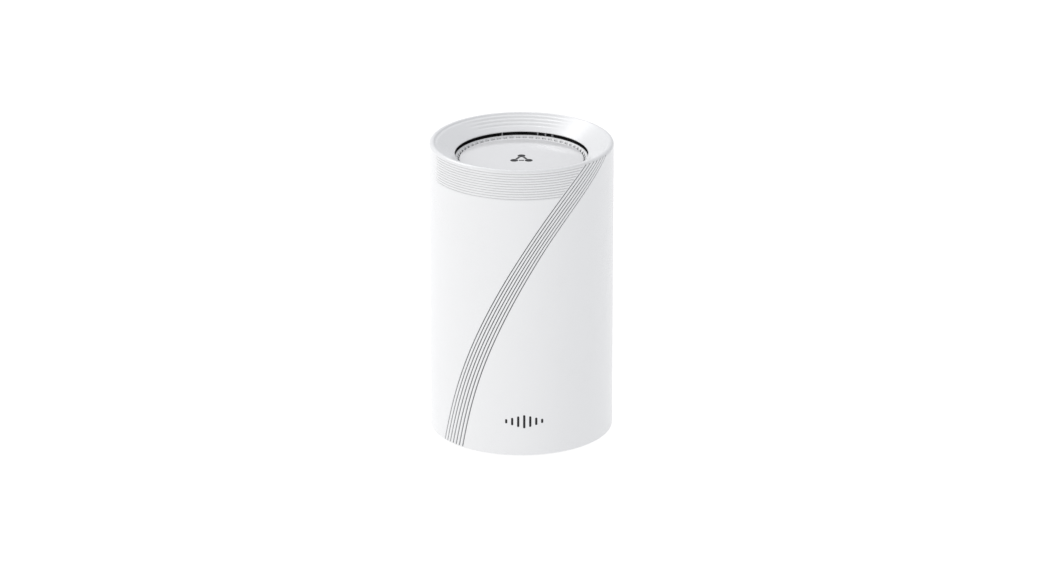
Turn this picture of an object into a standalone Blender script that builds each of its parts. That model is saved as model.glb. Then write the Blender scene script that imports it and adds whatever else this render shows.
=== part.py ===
"""Mesh wifi node: a round tabletop casing over a chimney-cooled vertical board.

The origin is at the centre of the foot, +Z is up, the front faces -Y and the sockets face +Y.
Lengths are in metres and angles in degrees.
"""

import math

import bmesh
import bpy
from mathutils import Matrix, Vector

# Driving dimensions
CASE_RADIUS = 0.0535
CASE_HEIGHT = 0.176
CASE_WALL = 0.0022
CASE_BOTTOM = 0.0012
BEYOND_CASE = 0.0600
GAP = 0.0003

RIM_ROUND = 0.0019
FUNNEL_LIP_RADIUS = 0.0387
FUNNEL_LIP_LOW = 0.1681
FUNNEL_LIP_HIGH = 0.1687
FUNNEL_THICKNESS = 0.0017

VENT_LIP_RADIUS = 0.0382
VENT_LIP_HEIGHT = 0.1664
VENT_SLOTS = 60
DISC_RADIUS = 0.0361
DISC_HEIGHT = 0.1653

FOOT_THICKNESS = 0.0016
PLATE_LOW = FOOT_THICKNESS + GAP
PLATE_HIGH = 0.0044
PLATE_RADIUS = 0.0509

PANEL_WIDTH = 0.0470
PANEL_HEIGHT = 0.0740
PANEL_MIDDLE = 0.0475
PANEL_FACE = 0.0445
PANEL_WALL = 0.0014
PANEL_CORNER = 0.0030

BOARD_FRONT = 0.0200
BOARD_BACK = 0.0216
BOARD_HALF_WIDTH = 0.0400
BOARD_LOW = 0.0100
BOARD_HIGH = 0.1300

FAN_SIZE = 0.0600
FAN_LOW = 0.1325
FAN_HIGH = 0.1475
FAN_SCREW_SPACING = 0.0500

FINE_STEPS = 96
RING_STEPS = VENT_SLOTS
INNER_STEPS = 36
SMALL_STEPS = 16

case_frame = None


def clear_scene():
    for obj in list(bpy.data.objects):
        bpy.data.objects.remove(obj, do_unlink=True)


def finish(name, colour, roughness, metallic=0.0):
    """A plain Principled material."""
    material = bpy.data.materials.new(name)
    material.use_nodes = True
    shader = material.node_tree.nodes["Principled BSDF"]
    shader.inputs["Base Color"].default_value = (*colour, 1.0)
    shader.inputs["Roughness"].default_value = roughness
    shader.inputs["Metallic"].default_value = metallic
    return material


# Shapes, each added to a bmesh


def block(bm, low, high):
    """A box between two opposite corners."""
    size = Vector(high) - Vector(low)
    middle = (Vector(high) + Vector(low)) / 2
    matrix = Matrix.Translation(middle) @ Matrix.Diagonal((*size, 1.0))
    bmesh.ops.create_cube(bm, size=1.0, matrix=matrix)


def turned(bm, profile, steps, ring=True):
    """(radius, height) points turned about Z. A ring's profile is a closed loop, and a disc's is open on Z."""
    points = [bm.verts.new((radius, 0.0, height)) for radius, height in profile]
    following = points[1:] + points[:1] if ring else points[1:]
    edges = [bm.edges.new(pair) for pair in zip(points, following)]
    bmesh.ops.spin(bm, geom=points + edges, cent=(0, 0, 0), axis=(0, 0, 1), angle=math.tau, steps=steps)
    bmesh.ops.remove_doubles(bm, verts=bm.verts, dist=1e-6)


def prism(bm, outline, low, high, along="Z"):
    """A flat outline carried from low to high along Z, or along Y when its points are (x, z)."""

    def place(point, level):
        return (point[0], point[1], level) if along == "Z" else (point[0], level, point[1])

    bottom = bm.faces.new([bm.verts.new(place(point, low)) for point in outline])
    raised = bmesh.ops.extrude_face_region(bm, geom=[bottom])["geom"]
    shift = Vector(place((0.0, 0.0), high - low))
    bmesh.ops.translate(bm, vec=shift, verts=[v for v in raised if isinstance(v, bmesh.types.BMVert)])


def rod(bm, radius, low, high, centre=(0.0, 0.0), along="Z", steps=SMALL_STEPS):
    """A round bar along Z, or along Y about an (x, z) centre."""
    outline = [
        (centre[0] + radius * math.cos(turn), centre[1] + radius * math.sin(turn))
        for turn in (math.tau * i / steps for i in range(steps))
    ]
    prism(bm, outline, low, high, along)


def rounded_outline(width, height, middle, corner, steps=4):
    """A rectangle with rounded corners, centred on an (x, z) point."""
    outline = []
    for quarter, (side, level) in enumerate(((1, 1), (-1, 1), (-1, -1), (1, -1))):
        centre = (
            middle[0] + side * (width / 2 - corner),
            middle[1] + level * (height / 2 - corner),
        )
        for i in range(steps + 1):
            turn = math.radians(90 * (quarter + i / steps))
            outline.append((centre[0] + corner * math.cos(turn), centre[1] + corner * math.sin(turn)))
    return outline


def circle_depth(radius, x):
    """How far a circle about the axis reaches in y at this x."""
    return math.sqrt(radius * radius - x * x)


# Objects


def solid(name, material, *shapes, origin=(0.0, 0.0, 0.0)):
    """One object from shapes that each add themselves to a bmesh, about an origin of its own."""
    bm = bmesh.new()
    for shape in shapes:
        shape(bm)
    bmesh.ops.recalc_face_normals(bm, faces=bm.faces)
    bmesh.ops.translate(bm, vec=-Vector(origin), verts=bm.verts)
    mesh = bpy.data.meshes.new(name)
    bm.to_mesh(mesh)
    bm.free()
    mesh.shade_smooth()
    mesh.set_sharp_from_angle(angle=math.radians(30))
    if material:
        mesh.materials.append(material)
    obj = bpy.data.objects.new(name, mesh)
    obj.location = origin
    obj.parent = case_frame
    bpy.context.collection.objects.link(obj)
    return obj


def combine(target, operation, *shapes):
    """A Boolean of the target with a hidden helper made from the shapes."""
    helper = solid(f"{target.name}_{operation.lower()}", None, *shapes)
    helper.hide_render = True
    helper.display_type = "WIRE"
    modifier = target.modifiers.new(operation.title(), "BOOLEAN")
    modifier.operation = operation
    modifier.solver = "EXACT"
    modifier.object = helper


def cut(target, *shapes):
    combine(target, "DIFFERENCE", *shapes)


def join(target, *shapes):
    combine(target, "UNION", *shapes)


def rectangle_ring(inner, outer, low, high):
    """The profile of a flat ring with square edges."""
    return [(inner, high), (outer, high), (outer, low), (inner, low)]


def around(count, first=0.0):
    """The angles, in radians, of pieces spaced evenly about Z."""
    return [math.radians(first) + math.tau * i / count for i in range(count)]


def spoke(bm, turn, near, far, width, low, high):
    """A radial bar at this angle, between two radii."""
    before = len(bm.verts)
    block(bm, (near, -width / 2, low), (far, width / 2, high))
    bm.verts.ensure_lookup_table()
    bmesh.ops.rotate(
        bm, cent=(0, 0, 0), matrix=Matrix.Rotation(turn, 3, "Z"), verts=bm.verts[before:]
    )


def spokes(count, near, far, width, low, high, first=0.0):
    def add(bm):
        for turn in around(count, first):
            spoke(bm, turn, near, far, width, low, high)

    return add


# Casing

FUNNEL_SLOPE = 30.5
RIM_RADIUS = CASE_RADIUS - RIM_ROUND
RIM_CENTRE = CASE_HEIGHT - RIM_ROUND


def make_outer_shell(material):
    """The white casing: side wall, rounded rim and the funnel down to the exhaust slot, in one moulding."""
    rim = [
        (
            RIM_RADIUS + RIM_ROUND * math.cos(math.radians(turn)),
            RIM_CENTRE + RIM_ROUND * math.sin(math.radians(turn)),
        )
        for turn in (90 + FUNNEL_SLOPE, 105, 90, 60, 30, 0)
    ]
    slope = math.tan(math.radians(FUNNEL_SLOPE))
    drop = FUNNEL_THICKNESS / math.cos(math.radians(FUNNEL_SLOPE))
    inner = CASE_RADIUS - CASE_WALL
    under_start = FUNNEL_LIP_RADIUS + (FUNNEL_LIP_LOW - FUNNEL_LIP_HIGH + drop) / slope
    under_end = FUNNEL_LIP_HIGH + slope * (inner - FUNNEL_LIP_RADIUS) - drop
    profile = [
        (FUNNEL_LIP_RADIUS, FUNNEL_LIP_HIGH),
        *rim,
        (CASE_RADIUS, CASE_BOTTOM),
        (inner, CASE_BOTTOM),
        (inner, under_end),
        (under_start, FUNNEL_LIP_LOW),
        (FUNNEL_LIP_RADIUS, FUNNEL_LIP_LOW),
    ]
    shell = solid("outer_shell", material, lambda bm: turned(bm, profile, FINE_STEPS))
    window = rounded_outline(PANEL_WIDTH, PANEL_HEIGHT, (0.0, PANEL_MIDDLE), PANEL_CORNER)
    window_near = 0.0400
    cut(shell, lambda bm: prism(bm, window, window_near, BEYOND_CASE, "Y"))


def make_top(shell_white, disc_white, black):
    """The ribbed vent ring, the flat disc inside it, and the dark parts under the exhaust slot."""
    ring_low = 0.1626
    ring_inner, ring_outer = 0.0365, 0.0392
    slope_foot = 0.1650
    lip_low = 0.1656
    shoulder = 0.1638
    chamfer = 0.0002
    ring = [
        (ring_inner, slope_foot),
        (VENT_LIP_RADIUS - 0.0003, VENT_LIP_HEIGHT),
        (VENT_LIP_RADIUS, VENT_LIP_HEIGHT - chamfer),
        (VENT_LIP_RADIUS, lip_low),
        (ring_outer, shoulder),
        (ring_outer, ring_low),
        (ring_inner, ring_low),
    ]
    vent_ring = solid("vent_ring", shell_white, lambda bm: turned(bm, ring, RING_STEPS))
    half_pitch = 180 / VENT_SLOTS
    slot_near, slot_far = ring_inner - 0.0010, 0.0374
    slot_width = 0.0018
    slot_floor = 0.1642
    above = VENT_LIP_HEIGHT + 0.0011
    cut(vent_ring, spokes(VENT_SLOTS, slot_near, slot_far, slot_width, slot_floor, above, first=half_pitch))

    skirt = 0.0025
    disc_under = DISC_HEIGHT - 0.0018
    disc = [
        (0.0, DISC_HEIGHT),
        (DISC_RADIUS - chamfer, DISC_HEIGHT),
        (DISC_RADIUS, DISC_HEIGHT - chamfer),
        (DISC_RADIUS, ring_low),
        (DISC_RADIUS - skirt, ring_low),
        (DISC_RADIUS - skirt, disc_under),
        (0.0, disc_under),
    ]
    solid("top_disc", disc_white, lambda bm: turned(bm, disc, RING_STEPS, ring=False))

    plate_low, plate_high = 0.1534, 0.1550
    plate_inner, plate_outer = 0.0345, 0.0480
    seat_low, seat_high = 0.1600, ring_low - GAP
    seat_inner, seat_outer = 0.0330, 0.0385
    posts, post_width = 8, 0.0040
    plate = rectangle_ring(plate_inner, plate_outer, plate_low, plate_high)
    seat = rectangle_ring(seat_inner, seat_outer, seat_low, seat_high)
    top_frame = solid("top_frame", black, lambda bm: turned(bm, plate, INNER_STEPS))
    join(top_frame, lambda bm: turned(bm, seat, INNER_STEPS))
    post_low, post_high = plate_high - 0.0010, seat_low + 0.0010
    join(top_frame, spokes(posts, 0.0350, 0.0380, post_width, post_low, post_high, first=22.5))

    duct_low, duct_high = plate_high + GAP, 0.1710
    duct_inner, duct_outer = 0.0440, CASE_RADIUS - CASE_WALL - 2 * GAP
    wall, sheet = 0.0013, 0.0016
    duct = [
        (duct_outer - wall, duct_high),
        (duct_outer, duct_high),
        (duct_outer, duct_low),
        (duct_inner, duct_low),
        (duct_inner, duct_low + sheet),
        (duct_outer - wall, duct_low + sheet),
    ]
    solid("exhaust_duct", black, lambda bm: turned(bm, duct, INNER_STEPS))


BASE_SCREW_RADIUS = 0.0360
BASE_SCREW_ANGLES = (52, 128, 232, 308)
RESET_PLACE = (0.0220, 0.0160)
FOOT_INNER, FOOT_OUTER = 0.0410, 0.0480
SCREW_HEAD_RADIUS, SCREW_HEAD_HEIGHT = 0.0028, 0.0014
SCREW_SHANK_RADIUS = 0.00125
PILOT_RADIUS = 0.0016


def base_screw_places():
    return [
        (BASE_SCREW_RADIUS * math.cos(math.radians(turn)), BASE_SCREW_RADIUS * math.sin(math.radians(turn)))
        for turn in BASE_SCREW_ANGLES
    ]


def make_base(black, rubber, steel):
    """The vented base plate, its rubber ring and four screws."""
    plate = solid(
        "base_plate", black, lambda bm: rod(bm, PLATE_RADIUS, PLATE_LOW, PLATE_HIGH, steps=RING_STEPS)
    )
    above = 0.0100
    vents, vent_near, vent_far, vent_width = 18, 0.0100, 0.0220, 0.0026
    cut(plate, spokes(vents, vent_near, vent_far, vent_width, 0.0, above))
    boss_radius, boss_top = 0.0034, 0.0072
    join(plate, lambda bm: rod(bm, boss_radius, PLATE_LOW + 0.0005, boss_top, RESET_PLACE))
    pinhole_radius, guide_radius = 0.0012, 0.0020
    counterbore_radius, counterbore_top = 0.0032, 0.0036

    def holes(bm):
        for place in base_screw_places():
            rod(bm, PILOT_RADIUS, 0.0, above, place)
        rod(bm, pinhole_radius, 0.0, PLATE_HIGH, RESET_PLACE)

    def wide_holes(bm):
        for place in base_screw_places():
            rod(bm, counterbore_radius, 0.0, counterbore_top, place)
        rod(bm, guide_radius, PLATE_HIGH - 0.0001, above, RESET_PLACE)

    cut(plate, holes)
    cut(plate, wide_holes)

    foot = rectangle_ring(FOOT_INNER, FOOT_OUTER, 0.0, FOOT_THICKNESS)
    solid("rubber_foot", rubber, lambda bm: turned(bm, foot, RING_STEPS))

    seat_height, shank = PLATE_LOW + 0.0002, 0.0076
    for number, place in enumerate(base_screw_places(), 1):
        make_screw(f"base_screw_{number}", steel, shank, (*place, seat_height), (0, 0, -1))


def make_screw(
    name,
    material,
    shank_length,
    seat,
    out,
    head_radius=SCREW_HEAD_RADIUS,
    head_height=SCREW_HEAD_HEIGHT,
    shank_radius=SCREW_SHANK_RADIUS,
):
    """A pan head screw. Its head's face is at seat, and out points away from the shank."""
    head = [
        (0.0, 0.0),
        (head_radius * 0.8, 0.0),
        (head_radius, -head_height * 0.4),
        (head_radius, -head_height),
        (shank_radius, -head_height),
        (shank_radius, -head_height - shank_length),
        (0.0, -head_height - shank_length),
    ]
    screw = solid(name, material, lambda bm: turned(bm, head, 12, ring=False))
    turn = Vector((0, 0, 1)).rotation_difference(Vector(out))
    screw.location = seat
    screw.rotation_euler = turn.to_euler()


# Socket panel


LAN_COLUMNS = (-0.0093, 0.0093)
LAN_ROWS = (0.0470, 0.0618)
LAN_SIZE = (0.0160, 0.0136)
USB_HEIGHT = 0.0320
USB_SIZE = (0.0132, 0.0059)
POWER_HEIGHT = 0.0195
POWER_SIZE = (0.0090, 0.0110)
WPS_HEIGHT = 0.0770
WPS_RADIUS = 0.0040
SWITCH_WIDTH = 0.0060
SOCKET_FACE = PANEL_FACE - GAP
SOCKET_BACK = BOARD_BACK + 0.0004


def facing_block(middle, size, near, far):
    """A box seen from behind the node: its (x, z) middle and size, and its two depths in y."""
    low = (middle[0] - size[0] / 2, near, middle[1] - size[1] / 2)
    high = (middle[0] + size[0] / 2, far, middle[1] + size[1] / 2)
    return lambda bm: block(bm, low, high)


def lan_places():
    return [(x, z) for z in LAN_ROWS for x in LAN_COLUMNS]


def make_port_bezel(material):
    """The recessed panel, its side walls, and the curved flange that clips behind the casing."""
    middle = (0.0, PANEL_MIDDLE)
    outer = (PANEL_WIDTH - 2 * GAP, PANEL_HEIGHT - 2 * GAP)
    inner = (outer[0] - 2 * PANEL_WALL, outer[1] - 2 * PANEL_WALL)
    tray = rounded_outline(*outer, middle, PANEL_CORNER - GAP)
    sheet = 0.0016
    bezel = solid("port_bezel", material, lambda bm: prism(bm, tray, PANEL_FACE - sheet, BEYOND_CASE, "Y"))
    combine(
        bezel,
        "INTERSECT",
        lambda bm: rod(bm, CASE_RADIUS - GAP, 0.0, 0.100, steps=FINE_STEPS),
    )

    half_angle, steps = 33, 18
    arc = [math.radians(90 - half_angle + 2 * half_angle * i / steps) for i in range(steps + 1)]
    flange_near = 0.0493
    flange_low, flange_high = 0.0065, 0.0885
    flange_far = CASE_RADIUS - CASE_WALL - GAP
    outline = [(flange_far * math.cos(a), flange_far * math.sin(a)) for a in arc]
    outline += [(flange_near * math.cos(a), flange_near * math.sin(a)) for a in reversed(arc)]
    join(bezel, lambda bm: prism(bm, outline, flange_low, flange_high))

    pocket = rounded_outline(*inner, middle, PANEL_CORNER - GAP - PANEL_WALL)
    cut(bezel, lambda bm: prism(bm, pocket, PANEL_FACE, BEYOND_CASE + 0.0100, "Y"))

    clear = 2 * GAP
    near, far = 0.0400, 0.0470
    holes = [
        facing_block(place, (LAN_SIZE[0] + clear, LAN_SIZE[1] + clear), near, far) for place in lan_places()
    ]
    holes.append(facing_block((0.0, USB_HEIGHT), (USB_SIZE[0] + clear, USB_SIZE[1] + clear), near, far))
    holes.append(facing_block((0.0, POWER_HEIGHT), (POWER_SIZE[0] + clear, POWER_SIZE[1] + clear), near, far))
    holes.append(lambda bm: rod(bm, WPS_RADIUS + GAP, near, far, (0.0, WPS_HEIGHT), "Y", 24))
    cut(bezel, *holes)


def make_lan_jack(name, place, material):
    """A metal-cased 8-way socket, with the stepped opening of its latch at the bottom."""
    jack = solid(name, material, facing_block(place, LAN_SIZE, SOCKET_BACK, SOCKET_FACE))
    x, z = place
    depth = SOCKET_FACE - 0.0137
    roof, shelf, step, floor = 0.0050, -0.0022, -0.0041, -0.0056
    wide, middle, narrow = 0.0059, 0.0031, 0.0016
    right = [(narrow, floor), (narrow, step), (middle, step), (middle, shelf), (wide, shelf), (wide, roof)]
    opening = [(-dx, dz) for dx, dz in reversed(right)] + right
    cut(jack, lambda bm: prism(bm, [(x + dx, z + dz) for dx, dz in opening], depth, BEYOND_CASE, "Y"))


def make_usb_port(material):
    """A flat host socket with its contact tongue."""
    middle = (0.0, USB_HEIGHT)
    port = solid("usb_port", material, facing_block(middle, USB_SIZE, SOCKET_BACK, SOCKET_FACE))
    mouth, mouth_depth = (0.0121, 0.0048), 0.0115
    cut(port, facing_block(middle, mouth, SOCKET_FACE - mouth_depth, BEYOND_CASE))
    tongue = (0.0, USB_HEIGHT + 0.0008)
    tongue_size, tongue_set_back = (0.0106, 0.0016), 0.0012
    root = SOCKET_FACE - mouth_depth - 0.0010
    join(port, facing_block(tongue, tongue_size, root, SOCKET_FACE - tongue_set_back))


def make_dc_jack(material):
    """The power inlet: a barrel socket with its centre pin."""
    middle = (0.0, POWER_HEIGHT)
    jack = solid("dc_jack", material, facing_block(middle, POWER_SIZE, SOCKET_BACK, SOCKET_FACE))
    bore_radius, bore_floor = 0.0031, SOCKET_FACE - 0.0100
    pin_radius, pin_tip = 0.0010, SOCKET_FACE - 0.0015
    cut(jack, lambda bm: rod(bm, bore_radius, bore_floor, BEYOND_CASE, middle, "Y", 24))
    join(jack, lambda bm: rod(bm, pin_radius, bore_floor - 0.0010, pin_tip, middle, "Y", 12))


def make_wps_button(cap_material, switch_material):
    """The pairing button, a capped plunger that slides in the panel, and its switch on the board."""
    centre = (0.0, WPS_HEIGHT)
    flange_back, flange_front = 0.0410, PANEL_FACE - 0.0022
    stem_radius, stem_tip = 0.0015, 0.0330
    overlap = 0.0005
    proud = 0.0008
    pivot = bpy.data.objects.new("wps_button_slide", None)
    pivot.location = (0.0, PANEL_FACE, WPS_HEIGHT)
    pivot.parent = case_frame
    bpy.context.collection.objects.link(pivot)
    button = solid(
        "wps_button",
        cap_material,
        lambda bm: rod(bm, WPS_RADIUS, flange_back + overlap, PANEL_FACE + proud, centre, "Y", 24),
        origin=pivot.location,
    )
    button.parent = pivot
    button.location = (0.0, 0.0, 0.0)
    join(button, lambda bm: rod(bm, WPS_RADIUS + 0.0010, flange_back, flange_front, centre, "Y", 24))
    join(button, lambda bm: rod(bm, stem_radius, stem_tip, flange_back + overlap, centre, "Y", 12))

    body_front, nub_front, nub_radius = 0.0302, 0.0317, 0.0017
    body = facing_block(centre, (SWITCH_WIDTH, SWITCH_WIDTH), SOCKET_BACK, body_front)
    switch = solid("wps_switch", switch_material, body)
    join(switch, lambda bm: rod(bm, nub_radius, body_front - 0.0002, nub_front, centre, "Y", 12))


def make_reset_button(cap_material, switch_material):
    """The pinhole reset: a small plunger in the base plate's boss, under a switch on the board."""
    x, y = RESET_PLACE
    low, tip, radius = PLATE_HIGH + GAP, 0.0086, 0.0017
    solid(
        "reset_button",
        cap_material,
        lambda bm: rod(bm, radius, low, tip, RESET_PLACE),
        origin=(x, y, low),
    )
    half = SWITCH_WIDTH / 2
    body_low, body_high = 0.0102, 0.0150
    nub_radius, nub_low = 0.0012, 0.0097
    switch = solid(
        "reset_switch",
        switch_material,
        lambda bm: block(bm, (x - half, y - half, body_low), (x + half, BOARD_FRONT - GAP, body_high)),
    )
    join(switch, lambda bm: rod(bm, nub_radius, nub_low, body_low + 0.0003, RESET_PLACE, steps=12))


# Board and what stands on it


LUG_X = 0.0360
LUG_HEIGHTS = (0.0140, 0.1260)


def board_screw_places():
    return [(side * LUG_X, z) for z in LUG_HEIGHTS for side in (-1, 1)]


def make_chassis(material):
    """The inner frame: two rings, two rails, four lugs for the board and four bosses for the base screws."""
    ring_outer = 0.0485
    low_inner, low_bottom, low_top = 0.0330, 0.0050, 0.0080
    top_inner, top_bottom, top_top = 0.0400, 0.1500, 0.1530
    low_ring = rectangle_ring(low_inner, ring_outer, low_bottom, low_top)
    top_ring = rectangle_ring(top_inner, ring_outer, top_bottom, top_top)
    chassis = solid("chassis", material, lambda bm: turned(bm, low_ring, INNER_STEPS))
    join(chassis, lambda bm: turned(bm, top_ring, INNER_STEPS))

    rail_inner, rail_outer = BOARD_HALF_WIDTH + 0.0006, 0.0440
    rail_front, rail_back = 0.0170, 0.0240
    overlap = 0.0010

    def rails(bm):
        for side in (-1, 1):
            near, far = sorted((side * rail_inner, side * rail_outer))
            block(bm, (near, rail_front, low_top - overlap), (far, rail_back, top_bottom + overlap))

    lug_inner, lug_front, lug_half_height = 0.0315, 0.0135, 0.0030

    def lugs(bm):
        for side in (-1, 1):
            near, far = sorted((side * lug_inner, side * (rail_inner + 0.0009)))
            for z in LUG_HEIGHTS:
                low = (near, lug_front, z - lug_half_height)
                block(bm, low, (far, BOARD_FRONT - GAP, z + lug_half_height))

    boss_radius, boss_low, boss_high = 0.0036, 0.0055, 0.0130

    def bosses(bm):
        for place in base_screw_places():
            rod(bm, boss_radius, boss_low, boss_high, place, steps=12)

    def pilot_holes(bm):
        for place in base_screw_places():
            rod(bm, PILOT_RADIUS, boss_low - 0.0015, boss_high + 0.0010, place, steps=12)
        for place in board_screw_places():
            rod(bm, PILOT_RADIUS, lug_front - 0.0015, BOARD_FRONT + 0.0010, place, "Y", 12)

    join(chassis, rails)
    join(chassis, lugs)
    join(chassis, bosses)
    cut(chassis, pilot_holes)


def make_board(green, steel):
    """The main board, upright behind the middle of the case, with its four screws."""
    board = solid(
        "main_pcb",
        green,
        lambda bm: block(
            bm,
            (-BOARD_HALF_WIDTH, BOARD_FRONT, BOARD_LOW),
            (BOARD_HALF_WIDTH, BOARD_BACK, BOARD_HIGH),
        ),
    )

    hole_radius, beyond = 0.0017, 0.0050

    def holes(bm):
        for place in board_screw_places():
            rod(bm, hole_radius, BOARD_FRONT - beyond, BOARD_BACK + beyond, place, "Y", 12)

    cut(board, holes)
    shank = 0.0070
    for number, (x, z) in enumerate(board_screw_places(), 1):
        seat = (x, BOARD_BACK + GAP + SCREW_HEAD_HEIGHT, z)
        make_screw(f"pcb_screw_{number}", steel, shank, seat, (0, 1, 0))


FRONT_SINK_SEAT, REAR_SINK_SEAT = 0.0166, 0.0256
SOC_HALF_WIDTH, SOC_LOW, SOC_HIGH = 0.0100, 0.0600, 0.0800
REAR_CAN_HALF_WIDTH, REAR_CAN_LOW, REAR_CAN_HIGH = 0.0190, 0.0970, 0.1230


def finned(bm, half_width, base_near, base_far, low, high, reach, pitch, fin):
    """A heatsink: a base plate, with fins on its near side that end on a circle about the case's axis."""
    count = round(half_width / pitch)
    outline = [(-half_width, base_far), (half_width, base_far), (half_width, base_near)]
    for number in range(count, -count - 1, -1):
        middle = number * pitch
        for side in (1, -1):
            x = max(-half_width, min(half_width, middle + side * fin / 2))
            tip = math.copysign(circle_depth(reach, x), base_near - base_far)
            ends = [(x, base_near), (x, tip)]
            outline += ends if side == 1 else ends[::-1]
    outline.append((-half_width, base_near))
    tidy = [point for i, point in enumerate(outline) if point != outline[i - 1]]
    prism(bm, tidy, low, high)


def make_heatsinks(aluminium, pad):
    """A finned sink on each face of the board, each over a soft pad on the part it cools."""
    pitch, fin = 0.0070, 0.0014
    pad_thickness = 0.0010
    solid(
        "front_heatsink",
        aluminium,
        lambda bm: finned(
            bm,
            half_width=0.0300,
            base_near=0.0130,
            base_far=FRONT_SINK_SEAT,
            low=0.0220,
            high=0.1180,
            reach=0.0360,
            pitch=pitch,
            fin=fin,
        ),
    )
    solid(
        "rear_heatsink",
        aluminium,
        lambda bm: finned(
            bm,
            half_width=0.0290,
            base_near=0.0280,
            base_far=REAR_SINK_SEAT,
            low=0.0920,
            high=0.1280,
            reach=0.0440,
            pitch=pitch,
            fin=fin,
        ),
    )
    front_pad = FRONT_SINK_SEAT + GAP
    rear_pad = REAR_SINK_SEAT - GAP
    soc_margin = 0.0010
    low = (-SOC_HALF_WIDTH - soc_margin, front_pad, SOC_LOW - soc_margin)
    high = (SOC_HALF_WIDTH + soc_margin, front_pad + pad_thickness, SOC_HIGH + soc_margin)
    solid("soc_thermal_pad", pad, lambda bm: block(bm, low, high))
    half = REAR_CAN_HALF_WIDTH - 0.0010
    rear_low = (-half, rear_pad - pad_thickness, REAR_CAN_LOW + 0.0010)
    rear_high = (half, rear_pad, REAR_CAN_HIGH - 0.0010)
    solid("rear_thermal_pad", pad, lambda bm: block(bm, rear_low, rear_high))


def make_can(name, material, low, high, open_side):
    """A pressed shield can, open towards the board."""
    sheet = 0.0004
    can = solid(name, material, lambda bm: block(bm, low, high))
    inner_low = Vector(low) + Vector((sheet, sheet, sheet))
    inner_high = Vector(high) - Vector((sheet, sheet, sheet))
    if open_side > 0:
        inner_high.y = high[1] + sheet
    else:
        inner_low.y = low[1] - sheet
    cut(can, lambda bm: block(bm, inner_low, inner_high))


def make_components(chip, tin, copper, sleeve):
    """The chips and shield cans on the front face, and the sockets' and power parts on the rear."""
    front = BOARD_FRONT - GAP
    back = BOARD_BACK + 0.0004
    soc_top, memory_top, can_top, rear_can_top = 0.0182, 0.0186, 0.0176, 0.0240
    tall_part = 0.0290
    soc_low, soc_high = (-SOC_HALF_WIDTH, soc_top, SOC_LOW), (SOC_HALF_WIDTH, front, SOC_HIGH)
    solid("soc_chip", chip, lambda bm: block(bm, soc_low, soc_high))
    solid("memory_chip", chip, lambda bm: block(bm, (-0.0070, memory_top, 0.0870), (0.0070, front, 0.0970)))
    make_can("shield_can_left", tin, (-0.0290, can_top, 0.0550), (-0.0130, front, 0.0850), 1)
    make_can("shield_can_right", tin, (0.0130, can_top, 0.0550), (0.0290, front, 0.0850), 1)
    make_can("shield_can_top", tin, (-0.0200, can_top, 0.1010), (0.0200, front, 0.1160), 1)
    rear_low = (-REAR_CAN_HALF_WIDTH, back, REAR_CAN_LOW)
    make_can("rear_shield_can", tin, rear_low, (REAR_CAN_HALF_WIDTH, rear_can_top, REAR_CAN_HIGH), -1)
    inner, outer, low, high = 0.0220, 0.0340, 0.0420, 0.0660
    for side, label in ((-1, "left"), (1, "right")):
        near, far = sorted((side * inner, side * outer))
        solid(
            f"lan_transformer_{label}",
            chip,
            lambda bm, near=near, far=far: block(bm, (near, back, low), (far, tall_part, high)),
        )
    coil_low, coil_high = (-0.0320, back, 0.0180), (-0.0200, tall_part, 0.0300)
    solid("power_inductor", copper, lambda bm: block(bm, coil_low, coil_high))
    can_radius, can_end, can_place = 0.0040, 0.0340, (0.0280, 0.0260)
    solid("power_capacitor", sleeve, lambda bm: rod(bm, can_radius, back, can_end, can_place, "Y"))


# Fan


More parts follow.
